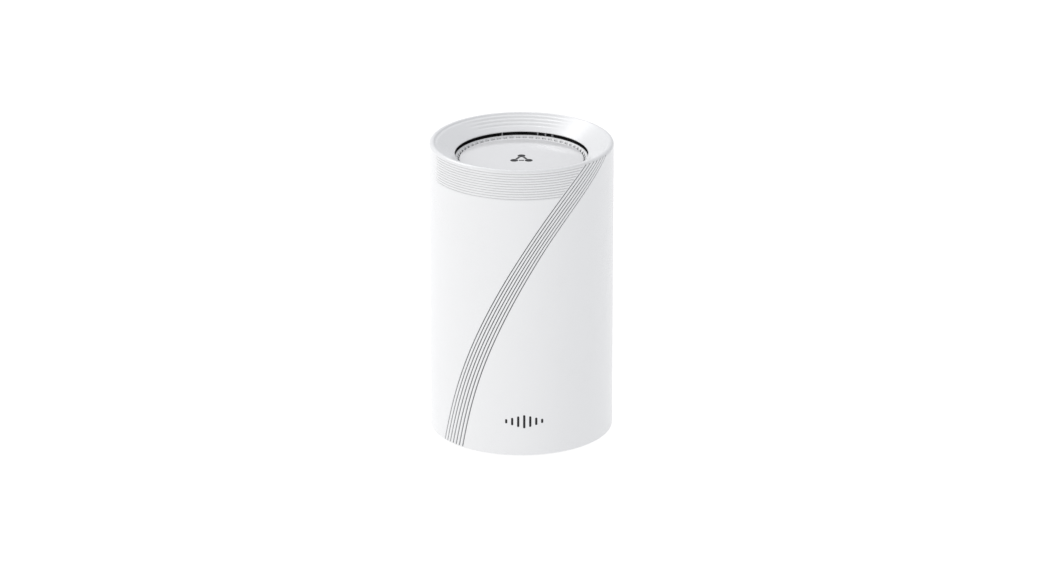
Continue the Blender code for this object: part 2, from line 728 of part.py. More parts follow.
def make_fan(black, grey, brass, copper, steel):
    """The exhaust fan under the top ring. Its rotor turns on a shaft in a bush at the frame's centre."""
    half = FAN_SIZE / 2
    bore = 0.0285
    frame = solid("fan_frame", black, lambda bm: block(bm, (-half, -half, FAN_LOW), (half, half, FAN_HIGH)))
    corners = [
        (sx * FAN_SCREW_SPACING / 2, sy * FAN_SCREW_SPACING / 2) for sx in (-1, 1) for sy in (-1, 1)
    ]

    beyond = 0.0010
    hole_radius = 0.0021

    def openings(bm):
        rod(bm, bore, FAN_LOW - beyond, FAN_HIGH + beyond, steps=INNER_STEPS)
        for place in corners:
            rod(bm, hole_radius, FAN_LOW - beyond, FAN_HIGH + beyond, place, steps=12)

    cut(frame, openings)
    base_top = FAN_LOW + 0.0018
    tube_top = FAN_LOW + 0.0095
    tube_inner, tube_outer, hub_radius = 0.0036, 0.0050, 0.0125
    hub_base = [
        (0.0, base_top),
        (tube_inner, base_top),
        (tube_inner, tube_top),
        (tube_outer, tube_top),
        (tube_outer, base_top),
        (hub_radius, base_top),
        (hub_radius, FAN_LOW),
        (0.0, FAN_LOW),
    ]
    arms, arm_width, arm_inset = 3, 0.0035, 0.0002
    arm_near, arm_far = 0.0060, bore + 0.0006
    arm_low, arm_high = FAN_LOW + arm_inset, base_top - arm_inset
    join(frame, spokes(arms, arm_near, arm_far, arm_width, arm_low, arm_high, first=30))
    join(frame, lambda bm: turned(bm, hub_base, 24, ring=False))

    shaft_radius = 0.0015
    bush = rectangle_ring(shaft_radius + GAP, tube_inner - GAP, base_top + GAP, tube_top + GAP)
    solid("fan_bearing", brass, lambda bm: turned(bm, bush, SMALL_STEPS))
    coil_outer, coil_low, coil_high = 0.0108, 0.1362, 0.1428
    coil = rectangle_ring(tube_outer + GAP, coil_outer, coil_low, coil_high)
    solid("fan_stator", copper, lambda bm: turned(bm, coil, 24))

    spin = bpy.data.objects.new("fan_axis", None)
    spin.location = (0.0, 0.0, FAN_LOW)
    spin.parent = case_frame
    bpy.context.collection.objects.link(spin)
    cup_low = base_top + 0.0012
    cup_top = FAN_HIGH - 0.0015
    cup_ceiling = cup_top - 0.0020
    cup_inner, cup_outer = 0.0113, 0.0130
    cup = [
        (0.0, cup_top),
        (cup_outer, cup_top),
        (cup_outer, cup_low),
        (cup_inner, cup_low),
        (cup_inner, cup_ceiling),
        (shaft_radius, cup_ceiling),
        (shaft_radius, cup_low),
        (0.0, cup_low),
    ]
    rotor = solid("fan_rotor", grey, lambda bm: turned(bm, cup, 32, ring=False), origin=spin.location)
    rotor.parent = spin
    rotor.location = (0.0, 0.0, 0.0)
    blades, blade_root, blade_tip = 9, cup_outer - 0.0008, bore - 0.0012
    join(rotor, fan_blades(blades, blade_root, blade_tip, (cup_low + cup_top) / 2))

    tray_half, tray_low, tray_high = 0.0320, 0.1480, 0.1496
    tray_corner = (tray_half, tray_half, tray_high)
    tray = solid("fan_tray", steel, lambda bm: block(bm, (-tray_half, -tray_half, tray_low), tray_corner))

    def tray_openings(bm):
        rod(bm, bore, tray_low - beyond, tray_high + beyond, steps=INNER_STEPS)
        for place in corners:
            rod(bm, 0.0019, tray_low - beyond, tray_high + beyond, place, steps=12)

    cut(tray, tray_openings)
    head_radius, head_height, shank_radius, shank = 0.0032, 0.0016, 0.0016, 0.0140
    seat_height = tray_high + GAP + head_height
    for number, place in enumerate(corners, 1):
        make_screw(
            f"fan_screw_{number}",
            steel,
            shank,
            (*place, seat_height),
            (0, 0, 1),
            head_radius,
            head_height,
            shank_radius,
        )


def fan_blades(count, near, far, middle):
    """Flat blades set at a pitch of 35 degrees."""
    chord, thickness, pitch = 0.0110, 0.0011, math.radians(35)

    def add(bm):
        for turn in around(count):
            before = len(bm.verts)
            block(bm, (near, -chord / 2, -thickness / 2), (far, chord / 2, thickness / 2))
            bm.verts.ensure_lookup_table()
            matrix = (
                Matrix.Translation((0, 0, middle))
                @ Matrix.Rotation(turn, 4, "Z")
                @ Matrix.Rotation(pitch, 4, "X")
            )
            bmesh.ops.transform(bm, matrix=matrix, verts=bm.verts[before:])

    return add


# Antennas


ANTENNA_ANGLES = (60, 120, 215, 325)
ANTENNA_RADIUS = 0.0473
ANTENNA_LOW = 0.1080
ANTENNA_HIGH = 0.1497
CABLE_RADIUS = 0.0006


def make_antennas(board_material, sleeve):
    """Flat antennas around the upper case, each with a thin coaxial cable to the board's edge."""
    for number, angle in enumerate(ANTENNA_ANGLES, 1):
        turn = math.radians(angle)
        thickness, half_width = 0.0010, 0.0090
        antenna = solid(
            f"antenna_{number}",
            board_material,
            lambda bm: block(
                bm,
                (-thickness / 2, -half_width, ANTENNA_LOW),
                (thickness / 2, half_width, ANTENNA_HIGH),
            ),
        )
        antenna.location = (ANTENNA_RADIUS * math.cos(turn), ANTENNA_RADIUS * math.sin(turn), 0.0)
        antenna.rotation_euler = (0.0, 0.0, turn)
        make_cable(f"antenna_cable_{number}", sleeve, turn)


def make_cable(name, material, turn):
    """A cable held inside the case, from the antenna's foot to the nearer face of the board."""
    side = math.copysign(1.0, math.cos(turn))
    rear = math.sin(turn) > 0
    start_radius, start_height = ANTENNA_RADIUS - 0.0013, ANTENNA_LOW + 0.0040
    start = Vector((start_radius * math.cos(turn), start_radius * math.sin(turn), start_height))
    clear = 0.0004
    end = Vector((side * 0.0365, BOARD_BACK + clear if rear else BOARD_FRONT - clear, 0.0900))
    leave = Vector((0.0, 0.0150 if rear else -0.0300, 0.0))
    drop = Vector((0.0, 0.0, -0.0300))
    count = 16
    route = []
    for i in range(count):
        t = i / (count - 1)
        route.append(
            (1 - t) ** 3 * start
            + 3 * (1 - t) ** 2 * t * (start + drop)
            + 3 * (1 - t) * t**2 * (end + leave)
            + t**3 * end
        )
    curve = bpy.data.curves.new(name, "CURVE")
    curve.dimensions = "3D"
    curve.bevel_depth = CABLE_RADIUS
    curve.bevel_resolution = 2
    curve.use_fill_caps = True
    spline = curve.splines.new("POLY")
    spline.points.add(count - 1)
    for point, place in zip(spline.points, route):
        point.co = (*place, 1.0)
    curve.materials.append(material)
    cable = bpy.data.objects.new(name, curve)
    cable.parent = case_frame
    bpy.context.collection.objects.link(cable)


clear_scene()
case_frame = bpy.data.objects.new("case_frame", None)
bpy.context.collection.objects.link(case_frame)

white = finish("white_casing", (0.86, 0.87, 0.88), 0.38)
gloss_white = finish("gloss_disc", (0.80, 0.80, 0.82), 0.12)
black_plastic = finish("black_plastic", (0.03, 0.03, 0.032), 0.5)
grey_plastic = finish("grey_plastic", (0.20, 0.20, 0.21), 0.5)
panel_grey = finish("panel_grey", (0.72, 0.73, 0.75), 0.45)
rubber_grey = finish("foot_rubber", (0.10, 0.10, 0.10), 0.8)
steel = finish("zinc_steel", (0.60, 0.60, 0.62), 0.35, 1.0)
nickel = finish("nickel_case", (0.66, 0.65, 0.62), 0.3, 1.0)
tin = finish("tin_plate", (0.70, 0.70, 0.68), 0.3, 1.0)
aluminium = finish("extruded_aluminium", (0.62, 0.63, 0.65), 0.4, 1.0)
brass = finish("sintered_brass", (0.60, 0.45, 0.20), 0.4, 1.0)
copper = finish("copper_winding", (0.55, 0.28, 0.14), 0.4, 1.0)
board_green = finish("board_lacquer", (0.02, 0.12, 0.06), 0.35)
chip_black = finish("chip_epoxy", (0.04, 0.04, 0.045), 0.6)
pad_blue = finish("thermal_pad", (0.35, 0.45, 0.60), 0.8)
cable_grey = finish("cable_sleeve", (0.30, 0.30, 0.31), 0.5)

make_outer_shell(white)
make_top(white, gloss_white, black_plastic)
make_base(black_plastic, rubber_grey, steel)
make_port_bezel(panel_grey)
for number, place in enumerate(lan_places(), 1):
    make_lan_jack(f"lan_jack_{number}", place, nickel)
make_usb_port(nickel)
make_dc_jack(black_plastic)
make_wps_button(grey_plastic, chip_black)
make_reset_button(grey_plastic, chip_black)
make_chassis(black_plastic)
make_board(board_green, steel)
make_heatsinks(aluminium, pad_blue)
make_components(chip_black, tin, copper, black_plastic)
make_fan(black_plastic, grey_plastic, brass, copper, steel)
make_antennas(board_green, cable_grey)
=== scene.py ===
"""Mesh wifi node: its finishes and fine shapes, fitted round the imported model.

The sections follow the order of assembly, from the board outwards to the casing. Shapes are worked out in
millimetres and go into their meshes in metres. The front faces -Y, the sockets face +Y and +Z is up.
"""

import math

import bmesh
import bpy
import numpy as np
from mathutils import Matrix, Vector


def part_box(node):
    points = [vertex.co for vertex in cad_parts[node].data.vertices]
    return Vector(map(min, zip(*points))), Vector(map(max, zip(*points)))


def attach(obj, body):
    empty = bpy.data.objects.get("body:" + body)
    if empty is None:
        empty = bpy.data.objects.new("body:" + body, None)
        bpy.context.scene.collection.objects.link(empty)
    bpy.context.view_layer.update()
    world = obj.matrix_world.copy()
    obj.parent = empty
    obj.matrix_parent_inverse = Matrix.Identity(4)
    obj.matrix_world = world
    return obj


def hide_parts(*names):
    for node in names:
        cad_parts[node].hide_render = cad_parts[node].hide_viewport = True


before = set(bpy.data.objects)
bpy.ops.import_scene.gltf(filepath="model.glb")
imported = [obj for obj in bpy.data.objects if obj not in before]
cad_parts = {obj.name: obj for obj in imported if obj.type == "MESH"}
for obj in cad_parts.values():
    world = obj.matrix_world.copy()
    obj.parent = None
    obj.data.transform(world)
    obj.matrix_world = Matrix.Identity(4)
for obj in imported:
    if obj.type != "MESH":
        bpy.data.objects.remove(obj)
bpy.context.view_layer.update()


# Main board: glass-epoxy laminate under green lacquer, with tinned pads and buried tracks that show as
# lighter lines. Four steel screws hold it to the lugs of the inner frame.


class Socket:
    """A shader socket. Arithmetic on it adds Math nodes, and node() adds any other node to the same tree."""

    def __init__(self, tree, output):
        self.tree = tree
        self.output = output

    def node(self, kind, settings=None, inputs=None, output=0):
        """A node of this kind. Its settings come first, then the values or links of its sockets."""
        made = self.tree.nodes.new("ShaderNode" + kind)
        for name, value in (settings or {}).items():
            setattr(made, name, value)
        for name, value in (inputs or {}).items():
            if isinstance(value, Socket):
                self.tree.links.new(value.output, made.inputs[name])
            else:
                made.inputs[name].default_value = value
        return Socket(self.tree, made.outputs[output])

    def maths(self, operation, *values):
        """A Math node on these values. With none passed it stays unlinked and works on its default of 0.5.

        FRACT, FLOOR, SQRT, SINE and ABSOLUTE are called so below. The tracks, pads, dimples, vent holes, wire
        turns and antenna arms that they are meant to draw come out as one even value.
        """
        return self.node("Math", {"operation": operation}, dict(enumerate(values)))

    def __add__(self, other):
        return self.maths("ADD", self, other)

    def __sub__(self, other):
        return self.maths("SUBTRACT", self, other)

    def __rsub__(self, other):
        return self.maths("SUBTRACT", other, self)

    def __mul__(self, other):
        return self.maths("MULTIPLY", self, other)

    def __truediv__(self, other):
        return self.maths("DIVIDE", self, other)

    def __abs__(self):
        return self.maths("ABSOLUTE", self)

    __radd__ = __add__
    __rmul__ = __mul__

    def step(self, low, high):
        """A smooth rise from 0 at low to 1 at high, or a fall if low is the higher."""
        settings = {"interpolation_type": "SMOOTHSTEP"}
        return self.node("MapRange", settings, {"Value": self, "From Min": low, "From Max": high})

    def reach(self, other):
        """The diagonal of this length and another."""
        return (self * self + other * other).maths("SQRT")

    def cell(self, pitch):
        """How far a length is from the middle of its repeat, in millimetres."""
        return ((self / pitch).maths("FRACT") - 0.5) * pitch

    def colours(self, first, second):
        """The first colour where the value is 0 and the second where it is 1."""
        ends = [end if isinstance(end, Socket) else (*end, 1.0) for end in (first, second)]
        return self.node("Mix", {"data_type": "RGBA"}, {0: self, 6: ends[0], 7: ends[1]}, 2)

    def stretched(self, x, y, z):
        return self.node("VectorMath", {"operation": "MULTIPLY"}, {0: self, 1: (x, y, z)})

    def along(self, x, y, z):
        """How far a place is along a direction."""
        return self.node("VectorMath", {"operation": "DOT_PRODUCT"}, {0: self, 1: (x, y, z)}, "Value")

    def noise(self, grain, detail=2.0):
        """Noise whose features are about this many millimetres across."""
        return self.node("TexNoise", None, {"Vector": self, "Scale": 1.0 / grain, "Detail": detail})

    def bump(self, relief):
        """A normal from a height of 0 to 1, for a relief in millimetres."""
        return self.node("Bump", None, {"Height": self, "Distance": relief / 1000.0, "Strength": 1.0})


def finish(name, **uniform):
    """A Principled material with its uniform sockets set, and the place on the object in millimetres."""
    material = bpy.data.materials.new(name)
    material.use_nodes = True
    tree = material.node_tree
    for socket, value in uniform.items():
        tree.nodes["Principled BSDF"].inputs[socket.replace("_", " ")].default_value = value
    coordinates = Socket(tree, tree.nodes.new("ShaderNodeTexCoord").outputs["Object"])
    return material, coordinates.stretched(1000.0, 1000.0, 1000.0)


def vary(material, **sockets):
    """Links what changes over the surface to the Principled sockets."""
    tree = material.node_tree
    for socket, value in sockets.items():
        tree.links.new(value.output, tree.nodes["Principled BSDF"].inputs[socket.replace("_", " ")])
    return material


def tone(colour, level):
    return tuple(min(1.0, part * level) for part in colour)


def dress(material, *names, edge=0.0):
    """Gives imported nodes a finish, and softens their edges by a width in millimetres."""
    for name in names:
        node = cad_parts[name]
        for place in node.material_slots:
            place.material = material
        if edge:
            weld = node.modifiers.new("Weld", "WELD")
            weld.merge_threshold = 1e-6
            soften(node, edge)


def soften(obj, edge):
    bevel = obj.modifiers.new("Edges", "BEVEL")
    bevel.width = edge / 1000.0
    bevel.segments = 2
    bevel.limit_method = "ANGLE"
    bevel.angle_limit = math.radians(40)
    bevel.harden_normals = True
    bevel.use_clamp_overlap = True


def board_lacquer(name, green, track_pitch, pad_pitch):
    """Lacquer over tracks that run in bundles at a slant, with round tinned pads on a square grid."""
    material, place = finish(name, Specular_IOR_Level=0.6)
    across, up = place.along(1, 0, 0), place.along(0, 0, 1)
    slant = ((across + up * 0.5) / track_pitch).maths("FRACT") - 0.5
    track = slant.maths("ABSOLUTE").step(0.26, 0.20) * place.noise(9.0).step(0.50, 0.54)
    pad = across.cell(pad_pitch).reach(up.cell(pad_pitch)).step(0.42, 0.36)
    pad = pad * place.noise(5.0).step(0.57, 0.58)
    lacquer = track.colours(green, tone(green, 1.9))
    return vary(
        material,
        Base_Color=pad.colours(lacquer, (0.78, 0.76, 0.70)),
        Metallic=pad * 0.9,
        Roughness=place.noise(0.8) * 0.12 + 0.24 + pad * 0.08,
        Normal=(track * 0.5 + pad).bump(0.04),
    )


board_green = board_lacquer("board_lacquer", (0.018, 0.105, 0.050), track_pitch=0.55, pad_pitch=2.54)
dress(board_green, "main_pcb")


# Small chip parts on the board: ceramic blocks with tinned ends, reflowed in rows round the larger parts.
# They are surface parts about 1.6 by 0.8 mm, placed clear of everything else that stands on the board.


def grid_quads(rows, columns, wrap_rows, wrap_columns):
    """The quads of a grid of points. A wrapped direction also joins its last line to its first."""
    row = np.arange(rows if wrap_rows else rows - 1)[:, None]
    column = np.arange(columns if wrap_columns else columns - 1)[None, :]
    next_row, next_column = (row + 1) % rows, (column + 1) % columns
    corners = (
        row * columns + column,
        row * columns + next_column,
        next_row * columns + next_column,
        next_row * columns + column,
    )
    return np.stack(np.broadcast_arrays(*corners), axis=-1).reshape(-1, 4)


def surface(points, wrap_rows=False, wrap_columns=True, capped=False):
    """A grid of points, rows by columns by 3, as a surface. Capping closes its first and last rows."""
    rows, columns = points.shape[:2]
    faces = grid_quads(rows, columns, wrap_rows, wrap_columns).tolist()
    if capped:
        faces += [list(range(columns)), list(range((rows - 1) * columns, rows * columns))]
    return points.reshape(-1, 3), faces


def new_mesh(name, surfaces, sharp=35.0, values=None):
    """One closed mesh from surfaces in millimetres: merged points, outward faces, smooth below an angle.

    Values are arrays with a number for each point, stored on the mesh under their names.
    """
    points, faces, start = [], [], 0
    for places, quads in surfaces:
        points.append(places)
        faces += [[corner + start for corner in face] for face in quads]
        start += len(places)
    mesh = bpy.data.meshes.new(name)
    mesh.from_pydata((np.concatenate(points) / 1000.0).tolist(), [], faces)
    for attribute, numbers in (values or {}).items():
        stored = mesh.attributes.new(attribute, "FLOAT", "POINT")
        stored.data.foreach_set("value", numbers.astype(np.float32).ravel())
    bm = bmesh.new()
    bm.from_mesh(mesh)
    bmesh.ops.remove_doubles(bm, verts=bm.verts, dist=1e-7)
    bmesh.ops.delete(bm, geom=[edge for edge in bm.edges if edge.is_wire], context="EDGES")
    bmesh.ops.recalc_face_normals(bm, faces=bm.faces)
    bm.to_mesh(mesh)
    bm.free()
    mesh.shade_smooth()
    mesh.set_sharp_from_angle(angle=math.radians(sharp))
    return mesh


def placed(name, data):
    """A new object in the scene's collection."""
    obj = bpy.data.objects.new(name, data)
    bpy.context.scene.collection.objects.link(obj)
    return obj


def piece(name, surfaces, material, slot, replaces=(), body="case", edge=0.0, **mesh_options):
    """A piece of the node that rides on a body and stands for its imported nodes."""
    obj = placed(name, new_mesh(name, surfaces, **mesh_options))
    obj.data.materials.append(material)
    if edge:
        soften(obj, edge)
    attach(obj, body)
    if replaces:
        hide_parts(*replaces)
    return obj


def blocks(lows, highs):
    """Boxes between arrays of opposite corners: the eight corners of a unit cube, scaled and moved."""
    unit = np.array([(x, y, z) for z in (0, 1) for x, y in ((0, 0), (1, 0), (1, 1), (0, 1))], float)
    faces = np.array(
        [(0, 3, 2, 1), (4, 5, 6, 7), (0, 1, 5, 4), (1, 2, 6, 5), (2, 3, 7, 6), (3, 0, 4, 7)]
    )
    lows, highs = np.atleast_2d(lows).astype(float), np.atleast_2d(highs).astype(float)
    points = lows[:, None, :] + unit[None] * (highs - lows)[:, None, :]
    starts = 8 * np.arange(len(lows))[:, None, None]
    return points.reshape(-1, 3), (faces[None] + starts).reshape(-1, 4).tolist()


def node_box(name):
    """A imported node's lowest and highest corners in millimetres."""
    return tuple(1000.0 * np.array(corner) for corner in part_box(name))


def numbered(name):
    """The names of four like parts."""
    return [f"{name}_{number}" for number in range(1, 5)]


def free_places(side, taken, seed, count=90, spacing=(2.6, 1.5), margin=3.0, clearance=2.0):
    """Spots drawn from a grid over one side of the board, clear of its edges and of the parts it carries."""
    random = np.random.default_rng(seed)
    low, high = (corner[::2] for corner in node_box("main_pcb"))
    spots = random.uniform(low + margin, high - margin, (count * 6, 2))
    spots = np.unique(np.round(spots / spacing), axis=0) * spacing
    random.shuffle(spots)
    clear = np.ones(len(spots), bool)
    for name in taken:
        first, last = (corner[::2] for corner in node_box(name))
        clear &= ~((spots > first - clearance) & (spots < last + clearance)).all(axis=1)
    spots = spots[clear][:count]
    return np.column_stack([spots[:, 0], np.full(len(spots), side), spots[:, 1]])


def mottled(name, first, second, patch, grain, roughness, spread, relief=0.0, **uniform):
    """Two tones in soft patches, and a roughness that rises by a spread over a grain with its own relief.

    Patch and grain are a size in millimetres and a detail.
    """
    material, place = finish(name, **uniform)
    fine = place.noise(*grain)
    raised = {"Normal": fine.bump(relief)} if relief else {}
    tones = place.noise(*patch).colours(first, second)
    return vary(material, Base_Color=tones, Roughness=fine * spread + roughness, **raised)


SHIELD_CANS = ["shield_can_left", "shield_can_right", "shield_can_top"]
FRONT_PARTS = ["soc_chip", "memory_chip", "reset_switch", *SHIELD_CANS, *numbered("pcb_screw")]
REAR_PARTS = ["usb_port", "dc_jack", "wps_switch", "rear_shield_can", "lan_transformer_left"]
REAR_PARTS += ["lan_transformer_right", "power_inductor", "power_capacitor"]
REAR_PARTS += numbered("lan_jack") + numbered("pcb_screw")
CHIP_SIZE = np.array([1.6, 0.9, 0.8])
CHIP_SUNK = 0.05
CHIP_END = 0.35
END_PROUD = 0.03
board_low, board_high = node_box("main_pcb")
front_chips = free_places(board_low[1] - CHIP_SIZE[1] - CHIP_SUNK, FRONT_PARTS, seed=4)
rear_chips = free_places(board_high[1] + CHIP_SUNK, REAR_PARTS, seed=9)
chips = np.concatenate([front_chips, rear_chips])

ceramic = mottled("chip_ceramic", (0.30, 0.20, 0.13), (0.52, 0.42, 0.32), (3.0, 2), (0.3, 2), 0.4, 0.2)
solder = mottled(
    "tinned_ends", (0.66, 0.66, 0.64), (0.80, 0.80, 0.78), (0.6, 2), (0.25, 2), 0.2, 0.25, Metallic=1.0
)
inner = np.array([CHIP_END, END_PROUD, END_PROUD])
piece("chip_bodies", [blocks(chips + inner, chips + CHIP_SIZE - inner)], ceramic, "chip_epoxy")
near_end, far_end = CHIP_SIZE * (0, 1, 1) + (CHIP_END, 0, 0), CHIP_SIZE * (1, 0, 0) - (CHIP_END, 0, 0)
ends = [blocks(chips, chips + near_end), blocks(chips + far_end, chips + CHIP_SIZE)]
piece("chip_ends", ends, solder, "tin_plate")


# Screws: zinc-plated pan heads with a cross recess and a rolled thread. One shape serves the board, the fan
# and the base, at three sizes.


def faced(shape, out, seat):
    """Turns a shape's own Z to point out along an axis, and moves it to its seat."""
    points, faces = shape
    x, y, z = points.T
    moved = {"+Z": (x, y, z), "-Z": (x, -y, -z), "+Y": (x, z, -y)}[out]
    return np.column_stack(moved) + np.array(seat), faces


def seat_of(name, axis, level):
    """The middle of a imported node's box, at a level along one axis."""
    seat = sum(node_box(name)) / 2
    seat["XYZ".index(axis)] = level
    return seat


def polar(radius, turn, height):
    """Points at a radius and a height, at an angle from +X."""
    return np.stack(np.broadcast_arrays(radius * np.cos(turn), radius * np.sin(turn), height), axis=-1)


def screw(head_radius, head_height, shank_radius, length, steps=32):
    """A crowned head whose middle sinks in a cross, then a shank whose radius follows a helical thread.

    The recess is deep where the nearer of x and y is within its slot and the farther within its arm.
    """
    turn = np.linspace(0, math.tau, steps, endpoint=False)[None]
    reach = np.linspace(0, 1, 11)[:, None]
    top = head_radius * 0.86 * reach
    x, y = np.abs(top * np.cos(turn)), np.abs(top * np.sin(turn))
    slot_edge = np.clip((head_radius * 0.16 - np.minimum(x, y)) / (head_radius * 0.06), 0, 1)
    arm_edge = np.clip((head_radius * 0.62 - np.maximum(x, y)) / (head_radius * 0.10), 0, 1)
    drop = np.linspace(0, 1, 5)[1:, None]
    pitch = shank_radius * 0.8
    down = np.linspace(0, length, int(length / pitch * 5))[:, None]
    ridge = 0.5 + 0.5 * np.cos(math.tau * (down / pitch) + turn)
    taper = np.clip((length - down) / (1.5 * pitch), 0.35, 1.0)
    rings = (
        (top, -0.25 * head_height * reach**2 - slot_edge * arm_edge * head_height * 0.65),
        (head_radius * (0.86 + 0.14 * np.sin(drop * math.pi / 2)), -head_height * (0.25 + 0.75 * drop)),
        (shank_radius * (0.80 + 0.20 * ridge) * taper, -head_height - down),
        (np.zeros((1, 1)), -head_height - length),
    )
    return surface(np.concatenate([polar(radius, turn, height) for radius, height in rings]))


def plated(name, colour, roughness, stretch=(1, 1, 1), metallic=1.0):
    """Plated or bare metal: a tone that drifts, with fine marks stretched along the way it was worked."""
    material, place = finish(name, Metallic=metallic)
    marks = place.stretched(*stretch).noise(0.12, 4.0)
    drift = place.noise(6.0)
    return vary(
        material,
        Base_Color=(marks * 0.4 + drift * 0.6).colours(tone(colour, 0.86), tone(colour, 1.12)),
        Roughness=marks * 0.16 + drift * 0.10 + (roughness - 0.13),
        Normal=marks.bump(0.004),
    )


def fixings(name, node, out, head, shank):
    """Four screws in place of packed ones. Head and shank are each a radius and a length."""
    side = "XYZ".index(out[1])
    for new, packed in zip(numbered(name), numbered(node)):
        low, high = node_box(packed)
        seat = seat_of(packed, out[1], (low if out[0] == "-" else high)[side])
        piece(new, [faced(screw(*head, *shank), out, seat)], zinc, "zinc_steel", [packed])


zinc = plated("zinc_steel", (0.62, 0.62, 0.64), 0.30)
fixings("board_screw", "pcb_screw", "+Y", head=(2.8, 1.4), shank=(1.25, 7.0))


# Chips and shield cans: black moulded epoxy packages with a pin-one dimple, and pressed tinplate covers with
# rounded edges and small vent holes. The chips are soldered flat, and the cans clip round their fences.


def chip_epoxy(name, corner):
    """Sand-textured epoxy with one round polished dimple near a corner."""
    material, place = finish(name)
    grain = place.noise(0.10, 3.0)
    across, up = place.along(1, 0, 0) - corner[0], place.along(0, 0, 1) - corner[1]
    dimple = across.reach(up).step(0.75, 0.6)
    return vary(
        material,
        Base_Color=place.noise(4.0).colours((0.020, 0.020, 0.022), (0.045, 0.045, 0.048)),
        Roughness=0.62 + grain * 0.15 - dimple * 0.3,
        Normal=(grain * 0.25 - dimple).bump(0.05),
    )


DIMPLE_INSET = 1.8
for name in ("soc_chip", "memory_chip", "lan_transformer_left", "lan_transformer_right"):
    low, high = node_box(name)
    corner = (low[0] + DIMPLE_INSET, high[2] - DIMPLE_INSET)
    dress(chip_epoxy(f"{name}_epoxy", corner), name, edge=0.15)


def tinplate(name, hole_pitch):
    """Rolled tinplate with a grid of small dark vent holes."""
    material, place = finish(name)
    across, up = place.along(1, 0, 0), place.along(0, 0, 1)
    hole = across.cell(hole_pitch).reach(up.cell(hole_pitch)).step(0.55, 0.48)
    rolled = place.stretched(0.1, 1, 1).noise(0.15, 4.0)
    bright = rolled.colours((0.60, 0.60, 0.58), (0.78, 0.78, 0.76))
    return vary(
        material,
        Base_Color=hole.colours(bright, (0.01, 0.01, 0.01)),
        Metallic=1.0 - hole,
        Roughness=rolled * 0.2 + 0.18 + hole * 0.4,
        Normal=(rolled * 0.05 - hole).bump(0.08),
    )


dress(tinplate("tin_plate", hole_pitch=3.0), *SHIELD_CANS, "rear_shield_can", edge=0.15)


# Power parts: a copper-wound inductor potted in ferrite and a sleeved electrolytic capacitor with a scored
# aluminium top. Both stand on the rear of the board beside the power inlet.


def wound_copper(name, axis, pitch):
    """Enamelled wire: round turns side by side along an axis, each with its own sheen."""
    material, place = finish(name, Metallic=0.85, Coat_Weight=0.5)
    turns = place.along(*axis) / pitch
    crown = (turns.maths("FRACT") - 0.5).maths("ABSOLUTE").step(0.5, 0.0)
    each = turns.maths("FLOOR").maths("SINE") * 0.5 + 0.5
    return vary(
        material,
        Base_Color=each.colours((0.50, 0.20, 0.09), (0.70, 0.33, 0.16)),
        Roughness=0.40 - crown * 0.15,
        Normal=crown.bump(0.15),
    )


def softened(corners, radius=0.3, steps=3):
    """A closed outline with each corner turned into a parabola between points a radius away on its sides."""
    corners = np.array(corners, float)
    radius = np.broadcast_to(np.array(radius, float), len(corners))
    ends = []
    for shift in (1, -1):
        side = np.roll(corners, shift, axis=0) - corners
        length = np.linalg.norm(side, axis=1)
        reach = np.minimum(radius, 0.45 * length)
        ends.append(corners + side * (reach / length)[:, None])
    t = np.linspace(0, 1, steps + 1)[None, :, None]
    before, after = ends[0][:, None], ends[1][:, None]
    curve = (1 - t) ** 2 * before + 2 * t * (1 - t) * corners[:, None] + t**2 * after
    return curve.reshape(-1, 2)


def about_z(radius, turn, height):
    """Points at a radius and a height, at an angle from the front: x = r sin a and y = -r cos a."""
    return np.stack(np.broadcast_arrays(radius * np.sin(turn), -radius * np.cos(turn), height), axis=-1)


def turned(corners, rounds, columns, steps=3):
    """A closed profile of (radius, height) corners, softened, then turned about Z."""
    radius, height = softened(corners, rounds, steps).T[..., None]
    turn = np.linspace(0, math.tau, columns, endpoint=False)
    return surface(about_z(radius, turn, height), wrap_rows=True)


dress(wound_copper("inductor_winding", (1, 0, 0), 0.9), "power_inductor", edge=0.5)

low, high = node_box("power_capacitor")
can_radius, can_depth = (high[0] - low[0]) / 2, high[1] - low[1]
can_seat = seat_of("power_capacitor", "Y", low[1])
can_corners = [(0.0, 0.0), (can_radius, 0.0), (can_radius, 0.9), (can_radius - 0.35, 1.3)]
can_corners += [(can_radius, 1.8), (can_radius, can_depth), (can_radius - 0.7, can_depth)]
can_corners += [(can_radius - 0.9, can_depth - 0.3), (0.0, can_depth - 0.3)]
can = turned(can_corners, [0, 0.2, 0.2, 0.3, 0.2, 0.3, 0.1, 0.1, 0], 40)
STRIPE_PLACE = -3.0

sleeve, place = finish("capacitor_sleeve", Coat_Weight=0.3)
stripe = abs(place.along(1, 0, 0) - (can_seat[0] + STRIPE_PLACE)).step(1.0, 0.8)
top = place.along(0, 1, 0).step(high[1] - 0.5, high[1] - 0.4)
sleeve_tone = stripe.colours((0.02, 0.03, 0.06), (0.45, 0.47, 0.50))
vary(
    sleeve,
    Base_Color=top.colours(sleeve_tone, (0.70, 0.70, 0.72)),
    Metallic=top * 0.95,
    Roughness=place.noise(0.4) * 0.15 + 0.25,
)
piece("capacitor_can", [faced(can, "+Y", can_seat)], sleeve, "black_plastic", ["power_capacitor"])


# Heatsinks and thermal pads: sawn lengths of extruded aluminium, with die lines along the fins, pressed on
# soft silicone pads that bridge to the chips and the rear can.


def extruded(name):
    """Die lines that run the length of the extrusion, over the slight mottle of bare aluminium."""
    material, place = finish(name, Metallic=1.0)
    lines = place.stretched(1, 1, 0.02).noise(0.25, 4.0)
    mottle = place.noise(2.5)
    return vary(
        material,
        Base_Color=mottle.colours((0.58, 0.59, 0.61), (0.72, 0.73, 0.75)),
        Roughness=lines * 0.25 + 0.28,
        Normal=lines.bump(0.02),
    )


